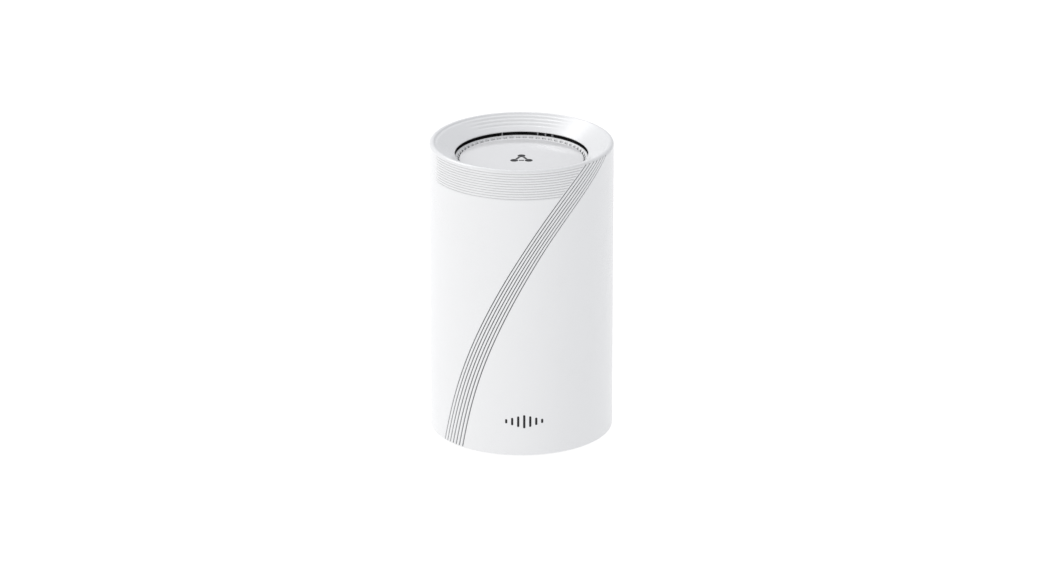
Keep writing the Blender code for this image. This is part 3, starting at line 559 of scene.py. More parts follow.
dress(extruded("extruded_aluminium"), "front_heatsink", "rear_heatsink", edge=0.15)

silicone = mottled(
    "thermal_silicone", (0.26, 0.36, 0.52), (0.42, 0.52, 0.66), (0.25, 3), (0.25, 3), 0.65, 0.2, 0.03,
    Subsurface_Weight=0.1, Subsurface_Scale=0.001,
)
dress(silicone, "soc_thermal_pad", "rear_thermal_pad", edge=0.2)


# LAN sockets: drawn nickel-plated cases round a black insert, each with eight gilt contact springs that
# slope down from the roof of the opening. They are soldered to the board and face out at the rear.


def at_angles(corners, centre, angles):
    """Where rays from a centre at these angles cross a closed outline that winds round the centre."""
    start = np.array(corners, float) - centre
    side = np.roll(start, -1, axis=0) - start
    ray = np.stack([np.cos(angles), np.sin(angles)], axis=-1)[:, None]
    cross = ray[..., 0] * side[:, 1] - ray[..., 1] * side[:, 0]
    safe = np.where(np.abs(cross) < 1e-12, 1e-12, cross)
    reach = (start[:, 0] * side[:, 1] - start[:, 1] * side[:, 0]) / safe
    share = (start[:, 0] * ray[..., 1] - start[:, 1] * ray[..., 0]) / safe
    meets = (share > -1e-6) & (share < 1 + 1e-6) & (reach > 0) & (np.abs(cross) > 1e-12)
    nearest = np.where(meets, reach, np.inf).min(axis=1)
    return centre + nearest[:, None] * ray[:, 0]


def matched(centre, *outlines):
    """Outlines sampled at the angles of all their corners, so that each has the same number of points."""
    corners = np.concatenate([np.array(outline, float) for outline in outlines]) - centre
    angles = np.unique(np.round(np.arctan2(corners[:, 1], corners[:, 0]), 6))
    return [at_angles(outline, centre, angles) for outline in outlines]


def loft(rows, axis="Y"):
    """Outlines with equal numbers of points, each at its level along an axis, joined in order and capped."""
    place = "XYZ".index(axis)
    layers = [np.insert(np.array(outline, float), place, level, axis=1) for outline, level in rows]
    return surface(np.array(layers), capped=True)


def bar(outline, middle, half_width):
    """An outline in y and z, carried along x to either side of a middle."""
    return loft([(outline, middle - half_width), (outline, middle + half_width)], "X")


def drawn_in(outline, centre, share):
    """An outline brought in towards a centre, to a share of its distance."""
    return centre + (outline - centre) * share


def rectangle(low, high):
    return [(low[0], low[1]), (high[0], low[1]), (high[0], high[1]), (low[0], high[1])]


def strip(path, thickness):
    """The outline of a band of even thickness along a path of points."""
    path = np.array(path, float)
    way = np.gradient(path, axis=0)
    normal = np.column_stack([-way[:, 1], way[:, 0]]) / np.linalg.norm(way, axis=1)[:, None]
    return np.concatenate([path + normal * thickness / 2, (path - normal * thickness / 2)[::-1]])


nickel = plated("nickel_case", (0.66, 0.65, 0.62), 0.26, (1, 0.15, 1))
gilt = plated("gilt_contacts", (0.86, 0.62, 0.26), 0.22)
insert_black = mottled(
    "socket_insert", (0.012, 0.012, 0.013), (0.028, 0.028, 0.030), (3.0, 2), (0.2, 3), 0.42, 0.2, 0.01
)
MOUTH_HALF = [(5.9, 5.0), (5.9, -2.2), (3.1, -2.2), (3.1, -4.1), (1.6, -4.1), (1.6, -5.6)]
MOUTH = MOUTH_HALF + [(-x, z) for x, z in MOUTH_HALF[::-1]]
SOCKET_DEPTH = 13.7
SPRING = [(-2.6, 3.9), (-3.2, 4.1), (-4.0, 3.7), (-9.0, 0.6), (-10.5, 0.0), (-12.2, -0.1)]
CONTACTS, CONTACT_PITCH, CONTACT_HALF_WIDTH, CONTACT_THICKNESS = 8, 1.02, 0.22, 0.3
for number, jack in enumerate(numbered("lan_jack"), 1):
    low, high = node_box(jack)
    middle = (low + high)[::2] / 2
    eye = middle + (0.0, 1.0)
    outer = softened(rectangle(low[::2], high[::2]), 0.5)
    case_outline, mouth = matched(eye, outer, middle + np.array(MOUTH))
    face, floor = high[1], high[1] - SOCKET_DEPTH
    rows = [(case_outline, low[1]), (case_outline, face - 0.25), (drawn_in(case_outline, middle, 0.975), face)]
    rows += [(mouth, face), (mouth, face - 0.35), (mouth, floor)]
    piece(f"lan_case_{number}", [loft(rows)], nickel, "nickel_case", [jack])
    lining = drawn_in(mouth, eye, 0.94)
    rows = [(lining, floor + 0.05), (lining, face - 1.0)]
    rows += [(drawn_in(lining, eye, 0.95), face - 1.0), (drawn_in(lining, eye, 0.93), floor + 1.0)]
    piece(f"lan_insert_{number}", [loft(rows)], insert_black, "black_plastic")
    outline = strip((face, middle[1]) + np.array(SPRING), CONTACT_THICKNESS)
    places = middle[0] + CONTACT_PITCH * (np.arange(CONTACTS) - (CONTACTS - 1) / 2)
    contacts = [bar(outline, x, CONTACT_HALF_WIDTH) for x in places]
    piece(f"lan_contacts_{number}", contacts, gilt, "sintered_brass")


# USB socket: a folded nickel-plated shell with spring fingers, and a blue tongue that carries four flat
# contacts.

USB_WALL = 0.55
low, high = node_box("usb_port")
middle, face = (low + high)[::2] / 2, high[1]
outer = softened(rectangle(low[::2], high[::2]), 0.7)
inner = softened(rectangle(low[::2] + USB_WALL, high[::2] - USB_WALL), 0.5)
outline, mouth = matched(middle, outer, inner)
rows = [(outline, low[1]), (outline, face - 0.15), (drawn_in(outline, middle, 0.985), face)]
shell = loft(rows + [(mouth, face), (mouth, face - 11.5)])
FINGER_PLACE, FINGER_HALF_WIDTH, FINGER_THICKNESS = 3.2, 1.1, 0.2
path = [(face - 2.0, high[2] - 0.62), (face - 4.0, high[2] - 1.0), (face - 6.0, high[2] - 0.62)]
finger = strip(path, FINGER_THICKNESS)
fingers = [bar(finger, x, FINGER_HALF_WIDTH) for x in (-FINGER_PLACE, FINGER_PLACE)]
piece("usb_shell", [shell, *fingers], nickel, "nickel_case", ["usb_port"], edge=0.06)

tongue_blue = mottled("usb_tongue", (0.02, 0.08, 0.30), (0.03, 0.11, 0.38), (3.0, 2), (0.3, 3), 0.36, 0.2, 0.01)
tongue_low = (middle[0] - 5.3, face - 11.45, middle[1])
tongue_high = (middle[0] + 5.3, face - 1.2, middle[1] + 1.6)
piece("usb_tongue", [blocks(tongue_low, tongue_high)], tongue_blue, "black_plastic", edge=0.25)
contact_x = middle[0] + np.array([-3.5, -1.0, 1.0, 3.5])
contact_lows = [(x - 0.5, face - 10.5, middle[1] - 0.12) for x in contact_x]
contact_highs = [(x + 0.5, face - 2.2, middle[1] - 0.02) for x in contact_x]
piece("usb_contacts", [blocks(contact_lows, contact_highs)], gilt, "sintered_brass")


# Power inlet: a black moulded housing round a barrel bore, with a plated sleeve spring and a turned centre
# pin.


def circle(centre, radius, steps):
    turn = np.linspace(0, math.tau, steps, endpoint=False)
    return centre + radius * np.column_stack([np.cos(turn), np.sin(turn)])


BORE_RADIUS = 3.1
BORE_DEPTH = 10.0
low, high = node_box("dc_jack")
middle, face = (low + high)[::2] / 2, high[1]
outer = softened(rectangle(low[::2], high[::2]), 0.8)
outline, bore = matched(middle, outer, circle(middle, BORE_RADIUS, 48))
rows = [(outline, low[1]), (outline, face - 0.3), (drawn_in(outline, middle, 0.95), face)]
rows += [(drawn_in(bore, middle, 1.12), face), (bore, face - 0.4), (bore, face - BORE_DEPTH)]
piece("power_housing", [loft(rows)], insert_black, "black_plastic", ["dc_jack"])
seat = seat_of("dc_jack", "Y", face)
pin = turned([(0.0, -9.98), (1.0, -9.98), (1.0, -1.5), (0.0, -1.5)], [0, 0.1, 0.8, 0], 24)
sleeve_ring = turned([(2.75, -9.9), (3.05, -9.9), (3.05, -1.2), (2.75, -1.4)], 0.1, 40)
piece("power_pin", [faced(pin, "+Y", seat)], nickel, "nickel_case")
piece("power_sleeve", [faced(sleeve_ring, "+Y", seat)], nickel, "nickel_case")


# Pairing button and its switch: a soft grey moulded cap with a finger dish and a retaining flange behind the
# panel. Its stem presses the plunger of a small switch on the board.


def moulded(name, colour, roughness, grain=0.15, relief=0.01, spread=0.04):
    """Moulded plastic: a spark-eroded grain as fine relief, with slow drifts of tone and gloss."""
    material, place = finish(name)
    fine = place.noise(grain, 3.0)
    slow = place.noise(14.0, 3.0)
    return vary(
        material,
        Base_Color=slow.colours(tone(colour, 1 - spread), tone(colour, 1 + spread)),
        Roughness=fine * 0.12 + slow * 0.08 + (roughness - 0.10),
        Normal=fine.bump(relief),
    )


grey_plastic = moulded("grey_plastic", (0.20, 0.20, 0.21), 0.46)
cap_face = node_box("wps_button")[1][1]
cap_corners = [(0.0, 33.0), (1.5, 33.0), (1.5, 41.0), (5.0, 41.0), (5.0, 42.3), (4.0, 42.3), (4.0, cap_face)]
cap_corners += [(2.9, cap_face), (2.4, cap_face - 0.18), (1.2, cap_face - 0.34), (0.0, cap_face - 0.38)]
cap = turned(cap_corners, [0, 0.3, 0.3, 0.3, 0.3, 0.1, 0.5, 0.3, 0.5, 0.6, 0], 64)
cap = faced(cap, "+Y", seat_of("wps_button", "Y", 0.0))
piece("pairing_cap", [cap], grey_plastic, "grey_plastic", ["wps_button"], body="pairing_button")

switch_black = moulded("switch_case", (0.03, 0.03, 0.032), 0.5)
dress(switch_black, "wps_switch", "reset_switch", edge=0.2)


# Reset plunger: a small grey pin with a domed foot, held in the base plate's boss under its switch.

low, high = node_box("reset_button")
pin_radius, foot, head = (high[0] - low[0]) / 2, low[2], high[2]
neck_radius = pin_radius * 0.7
pin_corners = [(0.0, foot), (pin_radius * 0.8, foot + 0.15), (pin_radius, foot + 0.5), (pin_radius, head - 0.8)]
pin_corners += [(neck_radius, head - 0.7), (neck_radius, head), (0.0, head)]
pin = turned(pin_corners, [0, 0.2, 0.3, 0.2, 0.2, 0.2, 0], 32)
pin = faced(pin, "+Z", seat_of("reset_button", "Z", 0.0))
piece("reset_pin", [pin], grey_plastic, "grey_plastic", ["reset_button"], body="reset_plunger")


# Inner frame and fan tray: a black moulded chassis that carries the board, and a pressed steel plate that
# carries the fan.

black_plastic = moulded("black_plastic", (0.026, 0.026, 0.028), 0.48)
dress(black_plastic, "chassis", edge=0.3)
tray_steel = plated("tray_steel", (0.58, 0.58, 0.60), 0.34, (0.08, 1, 1))
dress(tray_steel, "fan_tray", edge=0.15)


# Exhaust fan: a black moulded frame and a grey nine-bladed wheel on a bronze bush, driven by a copper-wound
# stator. Four long screws hold it under the tray.

dress(black_plastic, "fan_frame", edge=0.25)
dress(wound_copper("stator_winding", (0, 0, 1), 0.45), "fan_stator", edge=0.3)
dress(plated("sintered_bronze", (0.55, 0.40, 0.18), 0.45), "fan_bearing", edge=0.1)

BLADES = 9
BLADE_ROOT, BLADE_TIP, BLADE_MIDDLE = 12.4, 27.2, 140.8
CUP_LOW, CUP_HIGH = 135.5, 146.0


def blade(turn, near, far, middle, rows=9, around=20):
    """A fan blade: a thin lens section carried outwards, with a pitch that flattens and a tip that leads.

    The section is c/2 cos a across and t/2 sin a thick, with its middle raised as a shallow arch.
    """
    out = np.linspace(0, 1, rows)[:, None]
    section = np.linspace(0, math.tau, around, endpoint=False)[None]
    chord = 9.2 + 1.6 * out
    across = chord / 2 * np.cos(section)
    thick = (0.55 - 0.15 * out) * np.sin(section) + 0.9 * (1 - (2 * across / chord) ** 2)
    pitch = np.radians(43 - 15 * out)
    tangent = across * np.cos(pitch) - thick * np.sin(pitch)
    height = across * np.sin(pitch) + thick * np.cos(pitch) - 0.45
    radius = near + (far - near) * out
    angle = turn + tangent / radius + 0.16 * out**2
    return surface(polar(radius, angle, middle + height), capped=True)


hub_corners = [(0.0, CUP_HIGH - 2.0), (11.3, CUP_HIGH - 2.0), (11.3, CUP_LOW)]
hub_corners += [(13.0, CUP_LOW), (13.0, CUP_HIGH), (0.0, CUP_HIGH)]
hub = turned(hub_corners, [0, 0.2, 0.1, 0.2, 1.2, 0], 72, 4)
shaft_corners = [(0.0, CUP_LOW), (1.5, CUP_LOW), (1.5, CUP_HIGH - 1.5), (0.0, CUP_HIGH - 1.5)]
shaft = turned(shaft_corners, [0, 0.2, 0.1, 0], 24)
blades = [blade(math.tau * i / BLADES, BLADE_ROOT, BLADE_TIP, BLADE_MIDDLE) for i in range(BLADES)]
wheel_grey = moulded("fan_wheel_plastic", (0.16, 0.16, 0.17), 0.40)
piece("fan_wheel", [hub, shaft, *blades], wheel_grey, "grey_plastic", ["fan_rotor"], body="fan")
fixings("fan_fixing", "fan_screw", "+Z", head=(3.2, 1.6), shank=(1.6, 14.0))


# Antennas and cables: printed copper elements on thin white laminate, stood round the upper case, each fed
# by a thin grey coaxial cable.


def antenna_laminate(name, turn):
    """White lacquer with bare copper where the element's foot, stem and folded arms are printed."""
    material, place = finish(name)
    across = place.along(-math.sin(turn), math.cos(turn), 0)
    up = place.along(0, 0, 1)
    arms = ((up / 7.0).maths("FRACT") - 0.5).maths("ABSOLUTE").step(0.26, 0.22)
    inside = abs(across).step(7.6, 7.4)
    stem = abs(across + 6.4).step(1.1, 0.9)
    copper = arms.maths("MAXIMUM", arms, stem) * inside * up.step(110.0, 110.3) * up.step(148.0, 147.7)
    grain = place.noise(0.4, 3.0)
    return vary(
        material,
        Base_Color=copper.colours((0.62, 0.64, 0.60), (0.72, 0.38, 0.20)),
        Metallic=copper * 0.95,
        Roughness=grain * 0.15 + 0.30,
        Normal=(copper + grain * 0.1).bump(0.03),
    )


cable_sleeve, place = finish("cable_sleeve", Coat_Weight=0.2)
print_marks = place.stretched(1, 1, 0.4).noise(0.8, 3.0)
vary(
    cable_sleeve,
    Base_Color=print_marks.colours((0.20, 0.20, 0.21), (0.34, 0.34, 0.35)),
    Roughness=place.noise(0.3) * 0.15 + 0.38,
    Normal=print_marks.bump(0.01),
)
dress(cable_sleeve, *numbered("antenna_cable"))
for laminate, antenna in zip(numbered("antenna_laminate"), numbered("antenna")):
    x, y, z = sum(node_box(antenna))
    dress(antenna_laminate(laminate, math.atan2(y, x)), antenna, edge=0.1)


# Base: a vented black plate with four screws and a reset pinhole, on a ring of soft rubber whose tread is
# three fine grooves.

dress(black_plastic, "base_plate", edge=0.25)
fixings("base_fixing", "base_screw", "-Z", head=(2.8, 1.4), shank=(1.25, 7.6))

TREAD_DEPTH = 0.35
low, high = node_box("rubber_foot")
foot_inner, foot_outer, foot_top = 41.0, high[0], high[2]
foot_corners = [(foot_inner, foot_top), (foot_inner, 0.0)]
for groove in (42.6, 44.4, 46.2):
    start, end = groove + 0.15, groove + 0.45
    foot_corners += [(groove, 0.0), (start, TREAD_DEPTH), (end, TREAD_DEPTH), (groove + 0.6, 0.0)]
foot_corners += [(foot_outer, 0.0), (foot_outer, foot_top)]
rubber, place = finish("foot_rubber", Specular_IOR_Level=0.35)
bloom = place.noise(1.2, 4.0)
vary(
    rubber,
    Base_Color=bloom.colours((0.060, 0.060, 0.060), (0.110, 0.110, 0.108)),
    Roughness=bloom * 0.15 + 0.72,
    Normal=place.noise(0.25, 3.0).bump(0.02),
)
piece("rubber_tread", [turned(foot_corners, 0.12, 120, 2)], rubber, "foot_rubber", ["rubber_foot"])


# Exhaust duct and top frame: dark grey mouldings under the annular slot. The frame carries the vent ring, and
# thin grey struts bridge the slot to the funnel's edge.

duct_plastic = moulded("duct_plastic", (0.085, 0.085, 0.09), 0.5)
dress(duct_plastic, "exhaust_duct", "top_frame", edge=0.25)


def plate(outline, low, high):
    """A flat closed outline in x and y, raised between two heights."""
    return loft([(outline, low), (outline, high)], "Z")


def strut(turn, near, far, width):
    """A web's outline between two radii, its ends rounded, at an angle from the front."""
    half = width / 2
    x, y = softened([(near, -half), (far, -half), (far, half), (near, half)], half * 0.9).T
    sin, cos = math.sin(turn), math.cos(turn)
    return np.column_stack([x * sin + y * cos, y * sin - x * cos])


STRUT_TURNS = (180 + 16.8, 180 - 14.1, 180 - 21.1, 180 - 27.5)
STRUT_LOW, STRUT_HIGH = 165.9, 168.05
struts = [
    plate(strut(math.radians(angle + half_turn), 38.55, 40.6, 0.45), STRUT_LOW, STRUT_HIGH)
    for angle in STRUT_TURNS
    for half_turn in (0, 180)
]
strut_grey = moulded("strut_grey", (0.42, 0.42, 0.44), 0.4)
piece("slot_struts", struts, strut_grey, "white_casing")


# Vent ring: one white moulding with a bright rounded lip and sixty small slots through its inner slope. Painted
# shade darkens the slots' corners to near black.

VENTS = 60
VENT_HALF_WIDTH = 1.2
RING_FOOT = 162.6
VENT_FLOOR = 163.0
VENT_REACH = 37.6
casing_white = (0.865, 0.87, 0.88)


def vented_ring(corners, rounds):
    """The ring's profile turned about Z. Inside a slot, points on the slope drop towards the slot's floor.

    The drop is whole on the inner part of the slope and eases out to nothing at the slot's reach, as a scoop.
    Each slot takes seven columns, with a pair a hair apart at either wall. The second value returned is painted
    shade: 1 in each slot's corners, which the ring's finish paints near black, and less on the open scoop.
    """
    profile = softened(corners, rounds, 4)
    radius, height = profile.T
    half = math.degrees(VENT_HALF_WIDTH / 36.5)
    pitch = 360.0 / VENTS
    offsets = np.array([-half - 0.09, -half - 0.02, -half + 0.02, 0.0, half - 0.02, half + 0.02, half + 0.09])
    cut = np.array([0, 0, 1, 1, 1, 0, 0], float)
    # Painted shade for each column of a slot: full at the corners by the walls, less across the scoop.
    corner = np.array([0, 0, 1, 0.45, 1, 0, 0], float)
    turn = np.radians((np.arange(VENTS)[:, None] * pitch + pitch / 2 + offsets).ravel())
    share = np.clip((VENT_REACH - radius) / 0.7, 0, 1)[:, None] * (height > VENT_FLOOR)[:, None]
    z = height[:, None] - share * np.tile(cut, VENTS) * (height[:, None] - VENT_FLOOR)
    return surface(about_z(radius[:, None], turn, z), wrap_rows=True), share * np.tile(corner, VENTS)


slope_rise = (166.35 - 165.0) / (37.85 - 36.5)
slope = [(r, 165.0 + (r - 36.5) * slope_rise) for r in (36.5, 36.9, 37.1, 37.3, 37.5, VENT_REACH)]
ring_corners = [(36.5, RING_FOOT), *slope, (37.85, 166.35), (38.65, 166.35), (38.65, 165.75)]
ring_corners += [(39.2, 163.8), (39.2, RING_FOOT)]
ring_rounds = [0.1, 0.12, 0.0, 0.0, 0.0, 0.0, 0.0, 0.25, 0.25, 0.2, 0.2, 0.1]
ring_surface, slot_painted_shade = vented_ring(ring_corners, ring_rounds)
ring_white, place = finish("vent_ring_white")
fine = place.noise(0.12, 3.0)
painted_slot_shade = place.node("Attribute", {"attribute_name": "slot"}, None, "Fac")
# Painted shade: the slot value turns the white towards near black inside the slots.
vary(
    ring_white,
    Base_Color=painted_slot_shade.step(0.05, 0.7).colours(casing_white, (0.03, 0.03, 0.032)),
    Roughness=fine * 0.1 + 0.32,
    Normal=fine.bump(0.003),
)
piece("vent_grille", [ring_surface], ring_white, "white_casing", ["vent_ring"], values={"slot": slot_painted_shade})


# Top disc: a flat light grey disc with a high gloss, held from below, with a small printed mark of three
# linked dots at its centre.

DISC_TOP, DISC_UNDERSIDE = 165.3, 163.5
DISC_RADIUS, SKIRT_INNER = 36.1, 33.6
disc_corners = [(0.0, DISC_UNDERSIDE), (SKIRT_INNER, DISC_UNDERSIDE), (SKIRT_INNER, RING_FOOT)]
disc_corners += [(DISC_RADIUS, RING_FOOT), (DISC_RADIUS, DISC_TOP), (0.0, DISC_TOP)]
gloss_disc, place = finish("gloss_disc", Coat_Weight=0.2, Coat_Roughness=0.05)
slow = place.noise(18.0, 3.0)
vary(
    gloss_disc,
    Base_Color=slow.colours((0.84, 0.84, 0.85), (0.86, 0.86, 0.87)),
    Roughness=slow * 0.05 + 0.10,
    Normal=place.noise(3.0).bump(0.001),
)
disc = turned(disc_corners, [0, 0.1, 0.1, 0.1, 0.35, 0], 120, 5)
piece("gloss_top", [disc], gloss_disc, "gloss_disc", ["top_disc"])

ink = mottled(
    "printed_ink", (0.018, 0.018, 0.020), (0.035, 0.035, 0.038), (0.2, 3), (0.2, 3), 0.35, 0.15, 0.004,
    Specular_IOR_Level=0.15,
)
DOTS = np.array([(-4.2, -3.8), (4.2, -3.8), (0.0, 4.2)])
DOT_RADIUS = 2.3
LINK_WIDTH, LINK_GAP = 1.5, 0.4
outlines = [circle(dot, DOT_RADIUS, 40) for dot in DOTS]
for first, second in ((0, 2), (1, 2), (0, 1)):
    way = (DOTS[second] - DOTS[first]) / np.linalg.norm(DOTS[second] - DOTS[first])
    start, end = DOTS[first] + way * (DOT_RADIUS + LINK_GAP), DOTS[second] - way * (DOT_RADIUS + LINK_GAP)
    side = np.array([-way[1], way[0]]) * LINK_WIDTH / 2
    outlines.append([start + side, start - side, end - side, end + side])
mark = [plate(outline, DISC_TOP + 0.004, DISC_TOP + 0.03) for outline in outlines]
piece("disc_mark", mark, ink, "black_plastic")


# Rear socket panel: a light grey recessed moulding with a fine grain, clipped behind the casing.

panel_grey = moulded("panel_grey", (0.70, 0.71, 0.73), 0.42, grain=0.18, relief=0.012, spread=0.02)
dress(panel_grey, "port_bezel", edge=0.3)


# Outer casing: one white injection moulding with a satin grain. Seven grooves sweep from the rim down to the
# foot, eleven level grooves end at the first of them, and shallow rings run round the back of the funnel.
# Painted shade darkens the grooves: the swept ones to near black at their middles, the level ones less.

CASE_RADIUS = 53.46
CASE_TOP = 176.0
WALL, FUNNEL_WALL = 2.2, 1.7
FOOT_EDGE = 1.2
RIM_ROUND = 1.9
RIM_RADIUS = CASE_RADIUS - RIM_ROUND
RIM_CENTRE = CASE_TOP - RIM_ROUND
FUNNEL_SLOPE = math.radians(30.5)
LIP_RADIUS, LIP_LOW, LIP_HIGH = 38.7, 168.1, 168.7

SWEEP = (9.7393e-10, -3.1103e-7, 3.6308e-5, -2.4526e-4, 0.27713, -48.932)
OUTER_GROOVE = 3
SWEPT_PITCH = 2.07
SWEPT_HALF_WIDTH = 0.44
SWEPT_DEPTH = 0.60
NARROWEST = 116.0
SPREAD_ABOVE, SPREAD_BELOW = 0.60, 0.36
LEVEL_GROOVES = 11
LEVEL_FIRST, LEVEL_PITCH = 158.9, 1.515
LEVEL_HALF_WIDTH = 0.50
LEVEL_DEPTH = 0.30
LEVEL_START = -66.0
# The share of painted shade that the level grooves take.
LEVEL_PAINTED_SHADE = 0.52
BACK_RINGS = ((49.8, -95, 28), (47.5, -34, 25), (45.2, -34, 22), (42.7, -30, 20))
SIDE_RINGS = ((49.3, 78.0), (46.8, 84.0))
RING_HALF_WIDTH = 0.85
RING_DEPTH = 0.24


def smooth(value, low, high):
    """0 up to low and 1 from high on, with a cubic rise between them."""
    t = np.clip((value - low) / (high - low), 0, 1)
    return t * t * (3 - 2 * t)


def hollow(distance, half_width):
    """A groove's section: full depth at its middle, easing to nothing at its half width."""
    t = np.clip(np.abs(distance) / half_width, 0, 1)
    return (1 - t**2) ** 1.2


def casing_columns():
    """Angles from the middle groove, in degrees: close together across the grooves, about 2 apart elsewhere."""
    across = SWEPT_HALF_WIDTH * np.array([-1.0, -0.8, -0.55, -0.28, 0.0, 0.28, 0.55, 0.8, 1.0])
    middle = np.arange(-OUTER_GROOVE, OUTER_GROOVE + 1)
    fine = (middle[:, None] * SWEPT_PITCH + across[None]).ravel()
    lands = (middle[:-1] + 0.5) * SWEPT_PITCH
    edge = fine.max()
    side = edge + np.concatenate([[0.3, 0.8, 1.6, 2.8], np.linspace(4.4, 180 - edge, 86)])
    return np.unique(np.concatenate([fine, lands, side[:-1], -side[:-1], [180.0]]))


def casing_profile():
    """The casing's section as (radius, height), from the inside of the foot round the outside and back.

    The side, the band of level grooves, the rim's arc, the funnel and its lip are followed by the plain
    underside and inner wall.
    """
    side = np.linspace(FOOT_EDGE + 0.6, LEVEL_FIRST - 1.0, 56)
    levels = LEVEL_FIRST + LEVEL_PITCH * np.arange(LEVEL_GROOVES)
    across = LEVEL_HALF_WIDTH * np.array([-1.0, -0.66, -0.33, 0.0, 0.33, 0.66, 1.0])
    band = (levels[:, None] + across[None]).ravel()
    band = band[band < RIM_CENTRE]
    inner = CASE_RADIUS - WALL
    foot_corners = [(inner, FOOT_EDGE), (CASE_RADIUS, FOOT_EDGE), (CASE_RADIUS, FOOT_EDGE + 2)]
    foot = softened(foot_corners, [0, 0.4, 0], 4)[4:-5]
    rises = np.concatenate([side, band])
    wall = np.column_stack([np.full(len(rises), CASE_RADIUS), rises])
    turn = np.linspace(0, math.pi / 2 + FUNNEL_SLOPE, 17)
    rim = np.column_stack([RIM_RADIUS + RIM_ROUND * np.cos(turn), RIM_CENTRE + RIM_ROUND * np.sin(turn)])
    share = np.linspace(0, 1, 46)[1:, None]
    lip_top = np.array([LIP_RADIUS + 0.25, LIP_HIGH + 0.15])
    funnel = rim[-1] * (1 - share) + lip_top * share
    lip = softened([lip_top, (LIP_RADIUS, LIP_HIGH), (LIP_RADIUS, LIP_LOW)], 0.25)[4:]
    drop = FUNNEL_WALL / math.cos(FUNNEL_SLOPE)
    under_start = LIP_RADIUS + (LIP_LOW - LIP_HIGH + drop) / math.tan(FUNNEL_SLOPE)
    under_end = LIP_HIGH + math.tan(FUNNEL_SLOPE) * (inner - LIP_RADIUS) - drop
    under = [(under_start, LIP_LOW), ((under_start + inner) / 2, (LIP_LOW + under_end) / 2)]
    down = np.linspace(under_end, FOOT_EDGE, 40)
    inside = np.column_stack([np.full(len(down), inner), down])
    section = np.concatenate([foot, wall, rim, funnel, lip, under, inside])
    apart = np.linalg.norm(section - np.roll(section, 1, axis=0), axis=1) > 1e-4
    return section[apart]


def casing_points(profile, columns):
    """Each point of the section at each column's angle, pushed in along the section's normal by the grooves.

    A column's angle is its own, spread apart above and below the narrowest height, plus a share of the sweep,
    which is a quintic in height. The share is whole over the grooves and falls to nothing at the back, where
    the columns stand upright round the window.
    """
    radius, height = profile.T
    way = np.gradient(profile, axis=0)
    normal = np.column_stack([way[:, 1], -way[:, 0]]) / np.linalg.norm(way, axis=1)[:, None]
    z = height[:, None]
    sweep = np.polyval(SWEEP, z)
    share = 1 - smooth(np.abs(columns), 12.0, 145.0)
    above = np.clip((z - NARROWEST) / (170.0 - NARROWEST), 0, None)
    below = np.clip((NARROWEST - z) / NARROWEST, 0, None)
    spread = SPREAD_ABOVE * above**2.2 + SPREAD_BELOW * below**2.2
    turn = columns * (1 + spread * np.exp(-((columns / 40.0) ** 2))) + sweep * share

    outside = np.arange(len(profile))[:, None] <= np.argmax(height) + 8
    outer_wall = outside * (radius > RIM_RADIUS)[:, None]
    groove = np.round(columns / SWEPT_PITCH).clip(-OUTER_GROOVE, OUTER_GROOVE)
    before_rim = outer_wall * (1 - smooth(z, RIM_CENTRE + 0.5, RIM_CENTRE + 1.4))
    swept = hollow(columns - groove * SWEPT_PITCH, SWEPT_HALF_WIDTH) * before_rim

    first_groove = -OUTER_GROOVE * SWEPT_PITCH
    level = np.round((z - LEVEL_FIRST) / LEVEL_PITCH).clip(0, LEVEL_GROOVES - 1)
    starts = smooth(turn, LEVEL_START - 9, LEVEL_START + 4)
    stops = 1 - smooth(columns, first_groove - 1.1, first_groove - 0.6)
    levels = hollow(z - LEVEL_FIRST - level * LEVEL_PITCH, LEVEL_HALF_WIDTH) * starts * stops * outer_wall

    wrapped = (turn + 180) % 360 - 180
    from_back = (wrapped % 360) - 180
    funnel = (radius < RIM_RADIUS - 0.5)[:, None] & (np.arange(len(profile)) < np.argmin(radius))[:, None]
    rings = np.zeros_like(turn)
    for ring, start, end in BACK_RINGS:
        part = smooth(-from_back, start - 14, start + 8) * (1 - smooth(-from_back, end - 8, end + 14))
        rings += hollow(radius[:, None] - ring, RING_HALF_WIDTH) * part * funnel
    for ring, middle in SIDE_RINGS:
        part = 0.8 * hollow(wrapped - middle, 26.0)
        rings += hollow(radius[:, None] - ring, RING_HALF_WIDTH) * part * funnel

    depth = np.maximum(swept * SWEPT_DEPTH, levels * LEVEL_DEPTH) + rings * RING_DEPTH
    points = about_z(radius[:, None] - normal[:, :1] * depth, np.radians(turn), z - normal[:, 1:] * depth)
    # The second value is painted shade for the grooves: whole at a swept groove's middle, a share in the level
    # ones.
    return points, np.maximum(swept, levels * LEVEL_PAINTED_SHADE)


points, groove_painted_shade = casing_points(casing_profile(), casing_columns())
case_surface = surface(points, wrap_rows=True)

casing, place = finish("casing_satin")
fine = place.noise(0.14, 3.0)
slow = place.noise(30.0, 2.0)
painted_groove_shade = place.node("Attribute", {"attribute_name": "groove"}, None, "Fac")
body = slow.colours(tone(casing_white, 0.994), tone(casing_white, 1.006))
# Painted shade: the groove value darkens the base colour towards near black, and roughens it a little.
vary(
    casing,
    Base_Color=painted_groove_shade.step(0.15, 1.0).colours(body, (0.12, 0.123, 0.13)),
    Roughness=fine * 0.08 + slow * 0.05 + 0.22 + painted_groove_shade * 0.1,
    Normal=fine.bump(0.003),
)
# Each point's painted groove shade is stored on the mesh as its groove value.
grooves = {"groove": groove_painted_shade}
shell = piece("casing", [case_surface], casing, "white_casing", ["outer_shell"], sharp=55.0, values=grooves)

# The window for the socket panel is cut through the rear wall, and the cutter goes.

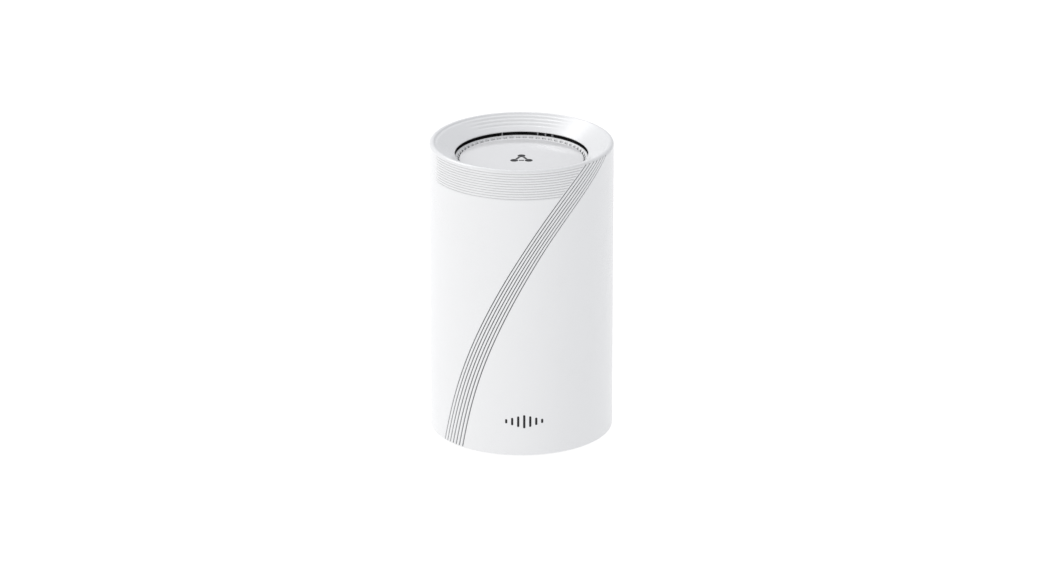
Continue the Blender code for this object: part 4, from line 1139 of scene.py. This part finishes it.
WINDOW_LOW, WINDOW_HIGH, WINDOW_CORNER = (-23.5, 10.5), (23.5, 84.5), 3.45
window = softened(rectangle(WINDOW_LOW, WINDOW_HIGH), WINDOW_CORNER, 8)
cutter = placed("window_cutter", new_mesh("window_cutter", [loft([(window, 40), (window, 60)])]))
cut = shell.modifiers.new("Window", "BOOLEAN")
cut.operation = "DIFFERENCE"
cut.solver = "EXACT"
cut.object = cutter
opened = bpy.data.meshes.new_from_object(shell.evaluated_get(bpy.context.evaluated_depsgraph_get()))
shell.modifiers.clear()
shell.data = opened
bpy.data.objects.remove(cutter)


# Front mark: a small pad-printed row of upright strokes, tallest in the middle, low on the casing.

STROKES = (2.6, 4.6, 6.6, 8.2, 6.6, 4.6, 2.6)
STROKE_PITCH, STROKE_HALF_WIDTH = 3.5, 0.65
MARK_X, MARK_Z = 1.6, 22.3
PRINT_RADIUS, PRINT_THICKNESS = 53.47, 0.025


def printed_stroke(x, half_height):
    """An upright bar with rounded ends, wrapped on the casing: its outline on two radii a print apart."""
    low = (x - STROKE_HALF_WIDTH, MARK_Z - half_height)
    high = (x + STROKE_HALF_WIDTH, MARK_Z + half_height)
    across, up = softened(rectangle(low, high), STROKE_HALF_WIDTH, 5).T
    radius = PRINT_RADIUS + PRINT_THICKNESS * np.array([[0], [1]])
    return surface(about_z(radius, across / CASE_RADIUS, up), capped=True)


strokes = []
for order, height in enumerate(STROKES, -(len(STROKES) // 2)):
    strokes.append(printed_stroke(MARK_X + order * STROKE_PITCH, height / 2))
piece("front_mark", strokes, ink, "black_plastic")


# Studio: a plain pale floor that stays white, a bright even surround, a large soft light from the upper left
# and a narrow one from above and behind.

floor_mesh = bpy.data.meshes.new("floor")
floor_mesh.from_pydata([(-9, -9, 0), (9, -9, 0), (9, 9, 0), (-9, 9, 0)], [], [(0, 1, 2, 3)])
placed("floor", floor_mesh)
paper, place = finish(
    "floor_paper", Base_Color=(0.25, 0.25, 0.25, 1), Roughness=1.0, Specular_IOR_Level=0.0,
    Emission_Color=(1, 1, 1, 1), Emission_Strength=0.86,
)
floor_mesh.materials.append(paper)

world = bpy.data.worlds.new("surround")
world.use_nodes = True
surround = world.node_tree.nodes["Background"]
surround.inputs["Color"].default_value = (0.965, 0.975, 1.0, 1)
surround.inputs["Strength"].default_value = 0.635
bpy.context.scene.world = world
bpy.context.scene.view_settings.view_transform = "Standard"

NODE_MIDDLE = Vector((0.0, 0.0, CASE_TOP / 2000.0))


def soft_light(name, place, width, height, power, colour):
    lamp = bpy.data.lights.new(name, "AREA")
    lamp.color = colour
    lamp.shape = "RECTANGLE"
    lamp.size, lamp.size_y = width, height
    lamp.energy = power
    obj = placed(name, lamp)
    obj.location = place
    obj.rotation_euler = (NODE_MIDDLE - Vector(place)).to_track_quat("-Z", "Y").to_euler()


soft_light("key_softbox", (-1.6, -1.3, 1.05), 1.2, 1.2, 9.3, (1.0, 0.97, 0.92))
soft_light("top_softbox", (-0.7, 0.9, 1.5), 1.4, 0.5, 11.5, (1.0, 1.0, 1.0))

CAMERA_RISE = math.radians(20.7)
CAMERA_DISTANCE = 3.0
camera = placed("camera", bpy.data.cameras.new("camera"))
camera.data.lens = 177.0
camera.data.sensor_width = 36.0
target = NODE_MIDDLE + Vector((0.0003, 0.0, -0.0006))
back = Vector((0.0, -math.cos(CAMERA_RISE), math.sin(CAMERA_RISE)))
camera.location = target + back * CAMERA_DISTANCE
camera.rotation_euler = (-back).to_track_quat("-Z", "Y").to_euler()
bpy.context.scene.camera = camera
